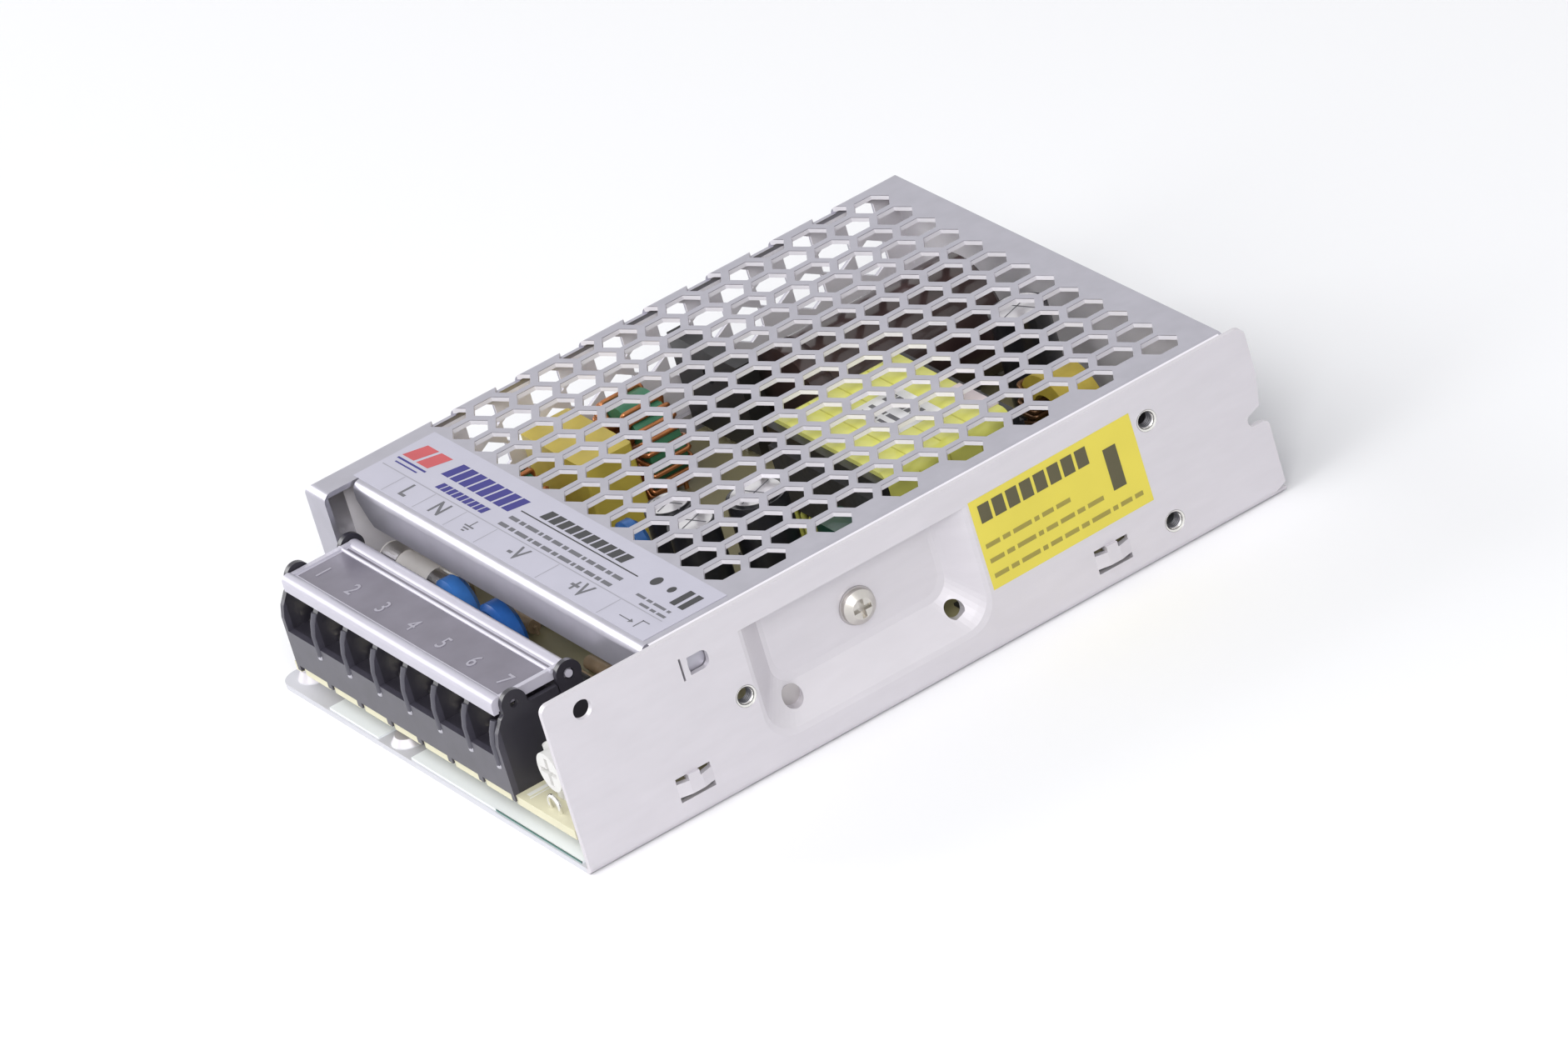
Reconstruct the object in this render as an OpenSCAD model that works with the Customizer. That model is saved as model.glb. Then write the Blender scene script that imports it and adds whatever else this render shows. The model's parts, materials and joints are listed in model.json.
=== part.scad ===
/* [Case] */
// Length of the case from front to back
case_len = 129; // [122:1:150]
// Width of the case over both side walls
case_w = 98; // [97:1:112]
// Height of the right side wall
case_h = 29.5; // [28:0.5:34]
// Thickness of the aluminium chassis sheet
chassis_t = 1; // [0.8:0.1:1.2]
// Outer radius of the fold between base and wall
chassis_bend_r = 1.6; // [1.3:0.1:2.4]
// Radius of the base's free front corner
base_corner_r = 3; // [1:0.5:6]
// Height of the base's upturned left edge
edge_flange_h = 9; // [7:0.5:12]
// How far the lanced strips bulge out of the side wall
lance_out = 0.6; // [0.2:0.1:0.8]

/* [Mesh cover] */
// Thickness of the galvanised cover sheet
cover_t = 0.8; // [0.6:0.1:1]
// Outer radius of the cover's long folds
cover_bend_r = 1.6; // [1.2:0.1:2.2]
// Step from the wall's top edge down to the cover
cover_drop = 0.3; // [0.1:0.1:1]
// Length of the terminal bay in front of the cover
terminal_bay = 14; // [12:0.5:20]
// Setback of the front lip behind the corner tab
lip_setback = 5; // [3:0.5:8]
// Depth of the folded front lip
lip_depth = 6.8; // [5:0.2:8]
// Width of the corner tab and its front flange
corner_tab_w = 6.4; // [4:0.2:8]
// Distance from the cover's back wall to the chassis's rear edge
rear_inset = 2.8; // [1.5:0.1:5]

/* [Mesh pattern] */
// Distance between hexagon centres
hex_pitch = 7; // [6:0.1:8]
// Hexagon size across its flats
hex_across = 5.7; // [4:0.1:5.8]
// Distance from the lip to the first row of hexagons
label_band = 20.6; // [18:0.2:24]
// Distance from the cover's right edge to the first hexagon centre
mesh_margin = 6.5; // [5.5:0.1:10]
// Plain strip behind the last row of hexagons
mesh_rear_margin = 3.5; // [3:0.1:8]

/* [Heat pocket] */
// Length of the pocket at the wall's surface
pocket_len = 41; // [30:1:46]
// Depth of the pocket
pocket_depth = 4; // [3:0.1:4.5]
// Width of the pocket's sloped sides
pocket_slope = 5; // [4:0.2:6]
// Height of the pocket's sloped foot
pocket_foot = 6.6; // [5:0.2:8]
// Height of the pocket's lower edge
pocket_low = 5; // [4.5:0.1:6]
// Height of the slit along the pocket's upper edge
pocket_high = 25; // [22:0.2:25.5]
// Distance of the pocket's middle behind the case's front
pocket_mid = 55; // [50:1:60]

/* [Circuit board] */
// Thickness of the circuit board
board_t = 1.6; // [1.2:0.1:2]
// Height of the embossed standoffs
standoff_h = 4; // [3:0.2:5]
// Thickness of the insulating film
film_t = 0.35; // [0.2:0.05:0.5]
// Thickness of the printed labels
label_t = 0.06; // [0.05:0.01:0.1]

/* [Terminal block] */
// Number of terminals
terminal_count = 7; // [5:1:7]
// Distance between terminals
terminal_pitch = 9.5; // [8.5:0.1:9.5]
// Thickness of the barriers
barrier_t = 1.4; // [1:0.1:2]
// Thickness of the end plates
end_plate_t = 1; // [0.8:0.1:1.6]
// Height of the solid foot of the block
block_foot_h = 6.3; // [5:0.1:7]
// Height of the barriers above the board
barrier_h = 13.2; // [12:0.1:13.6]
// Depth of the block from front to back
block_depth = 16.4; // [15:0.1:17]
// Height of the lid's hinge axis above the board
hinge_h = 14.1; // [13.8:0.1:15]
// Radius of the ears on the end plates
ear_r = 2.2; // [1.8:0.1:2.6]
// Radius of the lid's hinge pins
lid_pin_r = 0.65; // [0.5:0.05:0.9]
// Thickness of the clear lid
lid_t = 1; // [0.8:0.1:1.4]

/* [Fasteners] */
// Nominal thread diameter of the case's screws
thread_d = 3; // [2.5:0.5:3]
// Diameter of the pan heads
head_d = 5.6; // [5:0.1:6]
// Height of the pan heads
head_h = 1.8; // [1.2:0.1:2.2]

/* [Components] */
// Free height between the tallest can and the cover
headroom = 1; // [0.6:0.1:2]
// Length of the bulk capacitor
bulk_len = 35; // [25:1:35]
// Length of the transformer
trafo_len = 33.8; // [28:0.2:34]
// Width of the transformer's winding
trafo_w = 23; // [18:0.5:24]
// Height of the film capacitor
film_cap_h = 15.4; // [10:0.2:18]
// Outer diameter of the line choke's core
line_choke_d = 16; // [12:0.2:17]
// Outer diameter of the input choke's core
input_choke_d = 12; // [9:0.2:13]
// Outer diameter of the output choke's core
output_choke_d = 16; // [12:0.2:17]
// Thickness of the chokes' wire
wire_d = 0.9; // [0.6:0.1:1.1]
// Diameter of the trimmer's rotor
rotor_d = 6.6; // [5:0.2:7.6]

/* [Hidden] */
$fn = 48;

eps = 0.01;
// Gap between folded sheets that slide past each other
sheet_gap = 0.2;
// Gap round parts that turn
run_gap = 0.3;
// Gap round parts that drop into place
fit_gap = 0.1;

// Case limits
x_wall = (case_w - lance_out) / 2;
x_left = x_wall - case_w;
y_front = -case_len / 2;
y_rear = case_len / 2;
x_wall_in = x_wall - chassis_t;

// Cover limits
cover_top = case_h - cover_drop;
cover_under = cover_top - cover_t;
cover_right = x_wall_in - sheet_gap;
cover_left_in = x_left + cover_t;
cover_back = y_rear - rear_inset;
y_tab = y_front + terminal_bay;
y_lip = y_tab + lip_setback;
cover_low = chassis_t + sheet_gap;
cover_flange_low = cover_top - 4;
catch_y = y_front + 27;
catch_z = case_h - 5.8;

// Mesh pattern
hex_r = hex_across / sqrt(3);
row_step = hex_pitch * sqrt(3) / 2;
y_row0 = y_lip + label_band;
x_col0 = cover_right - mesh_margin;
// The columns spread a little so that the last one always runs over the left fold
mesh_span = x_col0 - x_left - hex_across / 2 + 0.05;
columns = floor(mesh_span / hex_pitch - 0.49);
column_step = mesh_span / (columns + 0.5);
hex_rows = floor((cover_back - mesh_rear_margin - hex_r - y_row0) / row_step) + 1;

// Board limits
board_low = chassis_t + standoff_h;
board_top = board_low + board_t;
board_front = y_front + 0.7;
board_back = cover_back - cover_t - 1.4;
board_left = x_left + chassis_t + cover_t + 1.6;
board_right = x_wall - 3.2;
board_notch = [x_left + corner_tab_w + 1, y_tab + cover_t + 1.2];
flange_out = cover_left_in + sheet_gap;
screw_r = thread_d / 2;
tap_r = screw_r - 0.25;
tap_chamfer = 0.6;
collar_h = 1.2;
standoff_r = 3.2;
standoffs = [
    [board_left + 4.6, y_front + 35],
    [board_right - 4.4, y_front + 16.5],
    [board_left + 4.6, board_back - 4.5],
    [board_right - 4.4, board_back - 4.5]
];
corner_boss = [x_left + 4.6, y_front + 4.6];

// Terminal block limits
block_w = terminal_count * terminal_pitch + 2 * end_plate_t;
block_right = x_wall - 20.8;
block_left = block_right - block_w;
block_front = y_front + 0.4;
block_back = block_front + block_depth;
bay_floor = board_top + block_foot_h;
foot_drop = 1;
foot_depth = 1;
barrier_top = board_top + barrier_h;
hinge_y = block_back - 1.9;
hinge_z = board_top + hinge_h;
catch_ear_y = block_front + 4.6;
bay_w = terminal_pitch - barrier_t;
contact_t = 0.8;
washer_t = 0.8;
terminal_y = block_front + 7.1;
lid_left = block_left + end_plate_t + run_gap;
lid_right = block_right - end_plate_t - run_gap;
lid_top = hinge_z + 1.5;
lid_front = block_front + 1.4;
lid_rim_r = 1.15;
lid_barrel_r = 1.4;
lid_rib_t = 1;
lid_plate_low = lid_top - lid_t - 0.5;
front_boss_h = 1.2;
front_boss = [block_left + 28, y_front + 3.4];

// Pocket limits
pocket_y = y_front + pocket_mid;
pocket_in = x_wall - pocket_depth;
pocket_back_face = pocket_in - chassis_t;
clamp_y = pocket_y + 0.8;
clamp_z = 16.8;
device_t = 4.4;
pad_t = 0.3;
device_back = pocket_back_face - pad_t;
device_low = board_top + 2.4;
device_offset = 8.2;

// Component places on the board, each from the edge or the part that it stands by
function from_left(d) = board_left + d;
function from_right(d) = board_right - d;
function from_back(d) = board_back - d;
room = cover_under - board_top;
fuse_y = block_back + 6.5;
fuse_len = 20;
fuse_r = 2.6;
fuse_left = from_left(0.2);
fuse_z = board_top + 6;
disc_y = block_back + 4.1;
input_choke_at = [from_left(9.1), fuse_y + 19.8];
film_cap_at = [from_left(1.6), input_choke_at[1] + 6.2];
film_cap_size = [20, 9.2, film_cap_h];
line_choke_at = [from_left(11.6), film_cap_at[1] + film_cap_size[1] + 6.3];
bulk_d = room - headroom;
bulk_r = bulk_d / 2;
bulk_at = [from_right(trafo_len + 30), from_back(bulk_len + 4.9)];
bridge_at = [from_left(0.6), bulk_at[1] - 5.2];
trafo_h = room - headroom - 0.9;
trafo_at = [from_right(trafo_len + 13.8), from_back(trafo_w + 28.5)];
bobbin_foot = 2.9;
snubber_at = [trafo_at[0] + 27.8, trafo_at[1] - 6.4];
output_choke_at = [from_right(23.3), from_back(14.3)];
chip_at = [from_left(41.6), block_back + 18.7];
opto_at = [from_right(19.8), block_back + 16.7];
trimmer_at = [x_wall - 10.6, y_front + 4.6];
trimmer_w = 9;
trimmer_depth = 6;
trimmer_h = 11;
rotor_z = board_top + 6.6;
// Standing cans as [x, y, diameter, height]
cans = [
    [trafo_at[0] + 20.4, trafo_at[1] - 15.4, 9.6, room - headroom - 0.2],
    [trafo_at[0] + 18, trafo_at[1] - 25.8, 8, room - headroom - 0.6],
    [trafo_at[0] + 9.6, trafo_at[1] - 25, 8, room - headroom - 0.6],
    [from_right(41.4), from_back(8.9), 9.6, room - headroom - 1.2],
    [from_right(9.2), from_back(10.9), 8, 15]
];

// Wall features as [distance behind the front, height]
wall_taps = [[32.4, 14.5], [109, 23], [109, 5.2]];
front_hole = [6.5, 26];
bridge_lances = [[20.4, 5.7], [97.4, 5.3]];
lance_strip = 2.3;
lance_slot = 0.9;
lance_len = 6.2;
notch_z = 14.3;

// Basic forms

module slab(x, y, z) {
    translate([x[0], y[0], z[0]]) cube([x[1] - x[0], y[1] - y[0], z[1] - z[0]]);
}

// Flat outline with four rounded corners, centred
module soft_rect(w, h, r) {
    square([w - 2 * r, h], center = true);
    square([w, h - 2 * r], center = true);
    for (sx = [-1, 1], sy = [-1, 1])
        translate([sx * (w / 2 - r), sy * (h / 2 - r)]) circle(r = r);
}

// Box with rounded upright edges, standing on z = 0 and centred
module soft_box(w, d, h, r) {
    linear_extrude(h) soft_rect(w, d, r);
}

// Turns an outline in (x, z) into a solid along y
module along_y(from, to) {
    translate([0, to, 0]) rotate([90, 0, 0]) linear_extrude(to - from) children();
}

// Turns an outline in (y, z) into a solid along x
module along_x(from, to) {
    translate([from, 0, 0]) rotate([90, 0, 90]) linear_extrude(to - from) children();
}

// Square corner less a quarter round, which cuts a fold's outer edge
module corner_cut(r) {
    difference() {
        translate([-eps, -eps]) square(r + eps);
        translate([0, 0]) circle(r = r);
    }
}

module hexagon() {
    rotate(30) circle(r = hex_r, $fn = 6);
}

// Pan head with a cross recess, its seat on z = 0 and its shank below
module pan_screw(shank_l, shank_r, d = head_d, h = head_h) {
    difference() {
        union() {
            cylinder(d = d, h = h * 0.55);
            translate([0, 0, h * 0.55]) cylinder(d1 = d, d2 = d * 0.62, h = h * 0.45);
        }
        for (a = [0, 90]) rotate(a)
            translate([-d * 0.28, -d * 0.07, h * 0.45]) cube([d * 0.56, d * 0.14, h]);
    }
    translate([0, 0, -shank_l]) cylinder(r = shank_r, h = shank_l);
}

// Chassis

module base_outline() {
    difference() {
        translate([x_left, y_front]) square([case_w, case_len]);
        translate([x_left + base_corner_r, y_front + base_corner_r]) rotate(180)
            corner_cut(base_corner_r);
    }
}

module wall_outline() {
    difference() {
        translate([y_front, 0]) square([case_len, case_h]);
        translate([y_front + 1.5, case_h - 1.5]) rotate(90) corner_cut(1.5);
        translate([y_rear - 1.6, case_h - 1.6]) corner_cut(1.6);
        translate([y_rear, 0]) polygon([[-1.9, -1], [-1.9, chassis_t], [0, 1.9], [1, 1.9], [1, -1]]);
        translate([y_rear, notch_z]) rear_notch();
    }
}

// Open slot in the wall's rear edge, with a long lead-in over it
module rear_notch() {
    translate([-2.6, -0.3]) circle(r = 0.9);
    translate([-2.6, 0]) circle(r = 0.9);
    translate([-2.6, -1.2]) square([3.6, 2.1]);
    polygon([
        [-2.6, 0.9], [-2.2, 1.1], [-0.9, 1.6], [-0.4, 4.4], [0, 7.2], [1, 7.2],
        [1, -2], [0, -2], [-0.3, -1.5], [-1, -1.2], [-2.6, -1.2]
    ]);
}

// Solid form of the pocket with soft edges, grown on every side by the given amount
module pocket_form(grow) {
    intersection() {
        union() {
            pocket_step(grow, [-0.4, 0], [0.3, 0.25]);
            pocket_step(grow, [0.3, 0.25], [1, 0.8]);
            hull() {
                pocket_plate(grow, 1, 0.8);
                pocket_plate(grow, pocket_slope - 1.2, pocket_depth - 0.75);
                pocket_plate(grow, pocket_slope - 0.5, pocket_depth - 0.2);
                pocket_plate(grow, pocket_slope + 0.4, pocket_depth);
            }
        }
        slab([0, x_wall + eps], [y_front, y_rear], [0, pocket_high]);
    }
}

module pocket_step(grow, outer, inner) {
    hull() {
        pocket_plate(grow, outer[0], outer[1]);
        pocket_plate(grow, inner[0], inner[1]);
    }
}

// Section of the pocket at a depth, drawn in by the given amount at the sides and more at the foot
module pocket_plate(grow, side, depth) {
    foot = side * pocket_foot / pocket_slope;
    w = pocket_len - 2 * side + 2 * grow * 0.6;
    h = 2 * (pocket_high - pocket_low - foot) + 2 * grow * 0.6;
    translate([x_wall - depth - (depth > 0 ? grow : 0), pocket_y, pocket_high]) rotate([90, 0, 90])
        linear_extrude(eps) soft_rect(w, h, 5 - 0.3 * side, $fn = 32);
}

// Tapped hole with a collar on the inner face of the wall
module wall_collar(at) {
    translate([x_wall_in - collar_h, y_front + at[0], at[1]]) rotate([0, 90, 0])
        cylinder(r = tap_r + 0.85, h = collar_h + eps);
}

module wall_tap(at) {
    translate([x_wall - 5, y_front + at[0], at[1]]) rotate([0, 90, 0]) cylinder(r = tap_r, h = 9);
    translate([x_wall - tap_chamfer, y_front + at[0], at[1]]) rotate([0, 90, 0])
        cylinder(r1 = tap_r, r2 = tap_r + tap_chamfer, h = tap_chamfer + eps);
}

// Two slots with the strip between them pushed outwards
module lance_cut(at) {
    translate([0, y_front + at[0], at[1]])
        slab([x_wall_in - 1, x_wall + 1], [-lance_len / 2, lance_len / 2],
            [-lance_strip / 2 - lance_slot, lance_strip / 2 + lance_slot]);
}

module lance_bridge(at) {
    flat = 1.1;
    end = lance_len / 2 + 0.1;
    out = lance_out;
    translate([0, y_front + at[0], at[1] - lance_strip / 2]) linear_extrude(lance_strip) polygon([
        [x_wall, -end], [x_wall + out, -flat], [x_wall + out, flat], [x_wall, end],
        [x_wall_in, end], [x_wall_in + out, flat], [x_wall_in + out, -flat], [x_wall_in, -end]
    ]);
    translate([0, y_front + at[0], at[1]])
        slab([x_wall_in, x_wall + out], [-flat, flat - 0.2],
            [lance_strip / 2 - eps, lance_strip / 2 + lance_slot + eps]);
}

// Catch window with rounded far corners
module catch_window() {
    translate([0, catch_y, catch_z]) rotate([90, 0, 90]) linear_extrude(case_w) {
        translate([-2.1, -1.5]) square([2.3, 3]);
        translate([-0.4, 0]) soft_rect(3.6, 3, 1.2);
        translate([-3.5, -1.9]) square([0.35, 3.8]);
    }
}

module standoff_add(at) {
    translate([at[0], at[1], chassis_t - eps])
        cylinder(r1 = standoff_r + 0.6, r2 = standoff_r, h = standoff_h + eps);
}

module standoff_cut(at) {
    translate([at[0], at[1], -1]) cylinder(r = tap_r, h = 12);
    translate([at[0], at[1], -eps]) cylinder(r1 = standoff_r - 0.2, r2 = standoff_r - 0.9, h = standoff_h);
}

module chassis() {
    color("gainsboro") difference() {
        union() {
            linear_extrude(chassis_t) base_outline();
            difference() {
                along_x(x_wall_in, x_wall) wall_outline();
                for (b = bridge_lances) lance_cut(b);
            }
            intersection() {
                pocket_form(chassis_t);
                slab([0, x_wall], [y_front, y_rear], [0, pocket_high]);
            }
            pocket_stop(2.6, pocket_in - 0.3);
            for (b = bridge_lances) lance_bridge(b);
            for (t = wall_taps) wall_collar(t);
            for (s = standoffs) standoff_add(s);
            edge_flange();
            base_boss(front_boss, front_boss_h);
            base_boss(corner_boss, 1.6);
        }
        along_y(y_front - 1, y_rear + 1) translate([x_wall - chassis_bend_r, chassis_bend_r])
            rotate(-90) corner_cut(chassis_bend_r);
        pocket_form(0);
        pocket_stop(1.8, pocket_in + 0.8);
        for (t = wall_taps) wall_tap(t);
        translate([x_wall - 5, y_front + front_hole[0], front_hole[1]]) rotate([0, 90, 0])
            cylinder(r = screw_r + 0.1, h = 9);
        catch_window();
        for (s = standoffs) standoff_cut(s);
        boss_hollow(front_boss, front_boss_h);
        boss_hollow(corner_boss, 1.6);
        pocket_holes();
        for (y = cover_screw_rows()) translate([x_left - 1, y, edge_screw_z()])
            rotate([0, 90, 0]) cylinder(r = tap_r, h = 5);
    }
}

// Relief hole in the pocket's lower rear corner and the clamp screw's hole
module pocket_holes() {
    translate([pocket_in - 3, pocket_y + pocket_len / 2 - pocket_slope - 0.2, pocket_low + 4])
        rotate([0, 90, 0]) cylinder(r = 1.5, h = 5.4);
    translate([pocket_in - 3, clamp_y, clamp_z]) rotate([0, 90, 0])
        cylinder(r = screw_r + 0.1, h = 9);
}

// Round stop pressed into the pocket's lower front corner: its floor stands in from the pocket's floor
module pocket_stop(r, start) {
    translate([start, pocket_y - pocket_len / 2 + pocket_slope + 1.2, pocket_low + 4.3])
        rotate([0, 90, 0]) cylinder(r = r, h = x_wall_in - start);
}

// Upturned left edge that carries the cover's screws
module edge_flange() {
    slab([flange_out, flange_out + chassis_t], [y_tab + 3, cover_back - 4], [chassis_t - eps, edge_flange_h]);
}

// Round pressing in the base, hollow from below
module base_boss(at, h) {
    translate([at[0], at[1], chassis_t - eps]) cylinder(r1 = 3.1, r2 = 2.2, h = h + eps);
}

module boss_hollow(at, h) {
    translate([at[0], at[1], -eps]) cylinder(r1 = 2.4, r2 = 1.4, h = h + eps);
}

// Mesh cover

module cover_profile(left, right, top, r) {
    difference() {
        translate([left, -5]) square([right - left, top + 5]);
        translate([right - r, top - r]) corner_cut(r);
        translate([left + r, top - r]) rotate(90) corner_cut(r);
    }
}

module cover_tunnel() {
    along_y(y_tab, cover_back) difference() {
        cover_profile(x_left, cover_right, cover_top, cover_bend_r);
        cover_profile(cover_left_in, cover_right - cover_t, cover_under, cover_bend_r - cover_t);
        translate([x_left - 1, -6]) square([case_w + 2, cover_low + 6]);
        translate([0, -6]) square([case_w, cover_flange_low + 6]);
    }
}

// Tongue of the right flange that fills the catch window
module cover_catch() {
    slab([cover_right - cover_t, cover_right], [catch_y - 5, catch_y + 5],
        [catch_z - 3.2, cover_flange_low + eps]);
}

module back_wall() {
    slab([cover_left_in - eps, cover_right - cover_t], [cover_back - cover_t, cover_back],
        [cover_low, cover_under + eps]);
}

module front_lip() {
    left = x_left + corner_tab_w + 0.4;
    right = cover_right - cover_bend_r + 0.4;
    low = cover_top - lip_depth;
    intersection() {
        along_x(left, right) lip_profile();
        along_y(y_lip - 1, y_lip + cover_bend_r + 1) polygon([
            [left, cover_top + 1], [left + 0.3, cover_top - 3], [left + 2.6, low + 1], [left + 3.8, low],
            [right - 1.6, low], [right, low + 3.4], [right, cover_top + 1]
        ]);
    }
}

// Lip with its bend, in (y, z)
module lip_profile() {
    translate([y_lip, cover_top - lip_depth]) square([cover_t, lip_depth - cover_bend_r]);
    translate([y_lip + cover_bend_r, cover_top - cover_bend_r]) intersection() {
        difference() {
            circle(r = cover_bend_r);
            circle(r = cover_bend_r - cover_t);
        }
        translate([-cover_bend_r, 0]) square(cover_bend_r + eps);
    }
}

module corner_flange() {
    slab([cover_left_in - eps, x_left + corner_tab_w], [y_tab, y_tab + cover_t],
        [cover_low, cover_under + eps]);
}

// Hexagon prisms through the top, the last column running over the fold
module top_mesh() {
    for (j = [0 : hex_rows - 1], i = [0 : columns])
        translate([x_col0 - (i + 0.5 - (j % 2) * 0.5) * column_step, y_row0 + j * row_step]) hexagon();
}

// Two staggered lines of hexagons down the left wall
module side_mesh() {
    z_top = cover_top - cover_bend_r - hex_across / 2 - 0.1;
    for (j = [0 : hex_rows - 1]) {
        drops = (j % 2 == 1) ? [0, hex_pitch] : [hex_pitch / 2];
        for (d = drops) translate([y_row0 + j * row_step, z_top - d]) hexagon();
    }
}

function cover_screw_rows() = [y_tab + 22, cover_back - 26];
function edge_screw_z() = edge_flange_h / 2 + 1;

module mesh_cover() {
    color("silver") difference() {
        union() {
            difference() {
                cover_tunnel();
                slab([x_left + corner_tab_w, case_w], [y_tab - 1, y_lip + cover_bend_r], [-1, case_h + 1]);
            }
            cover_catch();
            back_wall();
            front_lip();
            corner_flange();
        }
        along_x(x_left - 1, x_left + corner_tab_w + 1)
            translate([y_tab + cover_bend_r, cover_top - cover_bend_r]) rotate(90) corner_cut(cover_bend_r);
        translate([0, 0, cover_under - 0.5]) linear_extrude(cover_t + 2) top_mesh();
        along_x(x_left - 1, cover_left_in + eps) side_mesh();
        for (y = cover_screw_rows()) translate([x_left - eps, y, edge_screw_z()]) rotate([0, 90, 0]) {
            cylinder(r = screw_r + 0.1, h = 3);
            cylinder(r1 = head_d / 2 + 0.1, r2 = screw_r + 0.1, h = cover_t);
        }
    }
}

// Flat-headed screws through the cover's left wall into the base's edge
module cover_screws() {
    color("lightgray") for (y = cover_screw_rows())
        translate([x_left + 0.02, y, edge_screw_z()]) rotate([0, 90, 0]) difference() {
            union() {
                cylinder(d1 = head_d, d2 = thread_d - 0.5, h = cover_t);
                cylinder(r = tap_r, h = flange_out + chassis_t - x_left + 0.4);
            }
            for (a = [0, 90]) rotate(a) translate([-1.2, -0.25, -eps]) cube([2.4, 0.5, 0.6]);
        }
}

// Insulation and board

module board_outline(grow) {
    difference() {
        translate([board_left - grow, board_front])
            square([board_right - board_left + 2 * grow, board_back - board_front]);
        translate([board_left - 5, board_front - 5])
            square([board_notch[0] - board_left + 5 - grow, board_notch[1] - board_front + 5 - grow]);
    }
}

module insulation_film() {
    color("lightcyan", 0.6) translate([0, 0, chassis_t]) linear_extrude(film_t) difference() {
        translate([board_left, board_front - 0.4])
            square([board_right - board_left, board_back - board_front + 0.8]);
        translate([board_left - 1, board_front - 1]) square([14, board_notch[1] - board_front + 1]);
        translate([front_boss[0] - 4.6, board_front - 1]) square([10.4, 7.9]);
        for (s = standoffs) translate([s[0], s[1]]) circle(r = standoff_r + 0.8);
    }
}

module circuit_board() {
    color("khaki") translate([0, 0, board_low]) linear_extrude(board_t) difference() {
        board_outline(0);
        for (i = [0 : terminal_count]) translate([barrier_x(i), board_front])
            soft_rect(barrier_t + 2 * fit_gap, 2 * (block_front + foot_depth + fit_gap - board_front), 0.3);
        for (s = standoffs) translate([s[0], s[1]]) circle(r = screw_r + 0.1);
    }
}

module board_screws() {
    color("lightgray") for (s = standoffs)
        translate([s[0], s[1], board_top]) pan_screw(board_t + 2.6, tap_r);
}

// Terminal block

module barrier_profile() {
    polygon([
        [block_front, board_top - foot_drop], [block_front, board_top + 8.6],
        [block_front + 0.5, board_top + 10.6],
        [block_front + 1.7, barrier_top - 0.7], [block_front + 2.5, barrier_top],
        [block_back - 4.3, barrier_top], [block_back - 4.3, board_top],
        [block_front + foot_depth, board_top], [block_front + foot_depth, board_top - foot_drop]
    ]);
}

module end_profile() {
    barrier_profile();
    translate([catch_ear_y, hinge_z]) circle(r = ear_r);
    translate([catch_ear_y - ear_r, board_top + 10.6]) square([2 * ear_r, hinge_z - board_top - 10.6]);
    translate([hinge_y, hinge_z]) circle(r = ear_r);
    translate([hinge_y - ear_r, board_top])
        square([block_back - hinge_y + ear_r, hinge_z - board_top - ear_r]);
    translate([hinge_y - ear_r, board_top + 8]) square([2 * ear_r - 0.3, hinge_z - board_top - 8]);
}

module terminal_block() {
    color("#26262a") {
        difference() {
            union() {
                for (x = [block_left, block_right - end_plate_t]) along_x(x, x + end_plate_t) end_profile();
                for (i = [1 : terminal_count - 1]) {
                    x = barrier_x(i);
                    along_x(x - barrier_t / 2, x + barrier_t / 2) barrier_profile();
                }
                slab([block_left + eps, block_right - eps], [block_front, block_back],
                    [board_top, bay_floor]);
                slab([block_left + eps, block_right - eps], [block_back - 4.4, block_back - 1.4],
                    [bay_floor - eps, hinge_z - 2.3]);
            }
            for (x = [block_left - 1, block_right - end_plate_t - 1]) {
                translate([x, hinge_y, hinge_z]) rotate([0, 90, 0])
                    cylinder(r = lid_pin_r + run_gap, h = end_plate_t + 2);
                translate([x, catch_ear_y, hinge_z]) rotate([0, 90, 0])
                    cylinder(r = 0.7, h = end_plate_t + 2);
            }
            for (i = [0 : terminal_count - 1]) translate([bay_x(i), terminal_y, board_top + 1])
                cylinder(r = screw_r + 0.1, h = block_foot_h);
        }
    }
}

// Middle of a barrier; the end plates' feet are as wide as the barriers' feet
function barrier_x(i) = block_left + end_plate_t + i * terminal_pitch;
function bay_x(i) = block_left + end_plate_t + terminal_pitch * (i + 0.5);

module terminal_contacts() {
    color("lightgray") for (i = [0 : terminal_count - 1]) translate([bay_x(i), terminal_y, bay_floor])
        difference() {
        translate([0, 0.6, contact_t / 2]) cube([bay_w - 0.6, 8.6, contact_t], center = true);
        translate([0, 0, -1]) cylinder(r = screw_r + 0.1, h = 3);
    }
}

module terminal_washers() {
    color("gold") for (i = [0 : terminal_count - 1]) translate([bay_x(i), terminal_y, bay_floor + contact_t])
        difference() {
            soft_box(bay_w - 1.2, 6.8, washer_t, 0.8);
            translate([0, 0, -1]) cylinder(r = screw_r + 0.1, h = 3);
        }
}

module terminal_screws() {
    color("silver") for (i = [0 : terminal_count - 1])
        translate([bay_x(i), terminal_y, bay_floor + contact_t + washer_t])
            pan_screw(5.2, screw_r - 0.1, 6, 2.2);
}

// Clear lid: a sunk top between a round front rim, a hinge barrel and two end ribs
module terminal_lid() {
    color("lightblue", 0.4) {
        along_x(lid_left, lid_right) lid_profile();
        for (x = [lid_left, lid_right - lid_rib_t])
            slab([x, x + lid_rib_t], [lid_front + 1, hinge_y - 0.6], [lid_plate_low - 0.4, lid_top - 0.2]);
        translate([lid_left - run_gap - end_plate_t, hinge_y, hinge_z]) rotate([0, 90, 0])
            cylinder(r = lid_pin_r, h = lid_right - lid_left + 2 * (run_gap + end_plate_t));
    }
}

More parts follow.
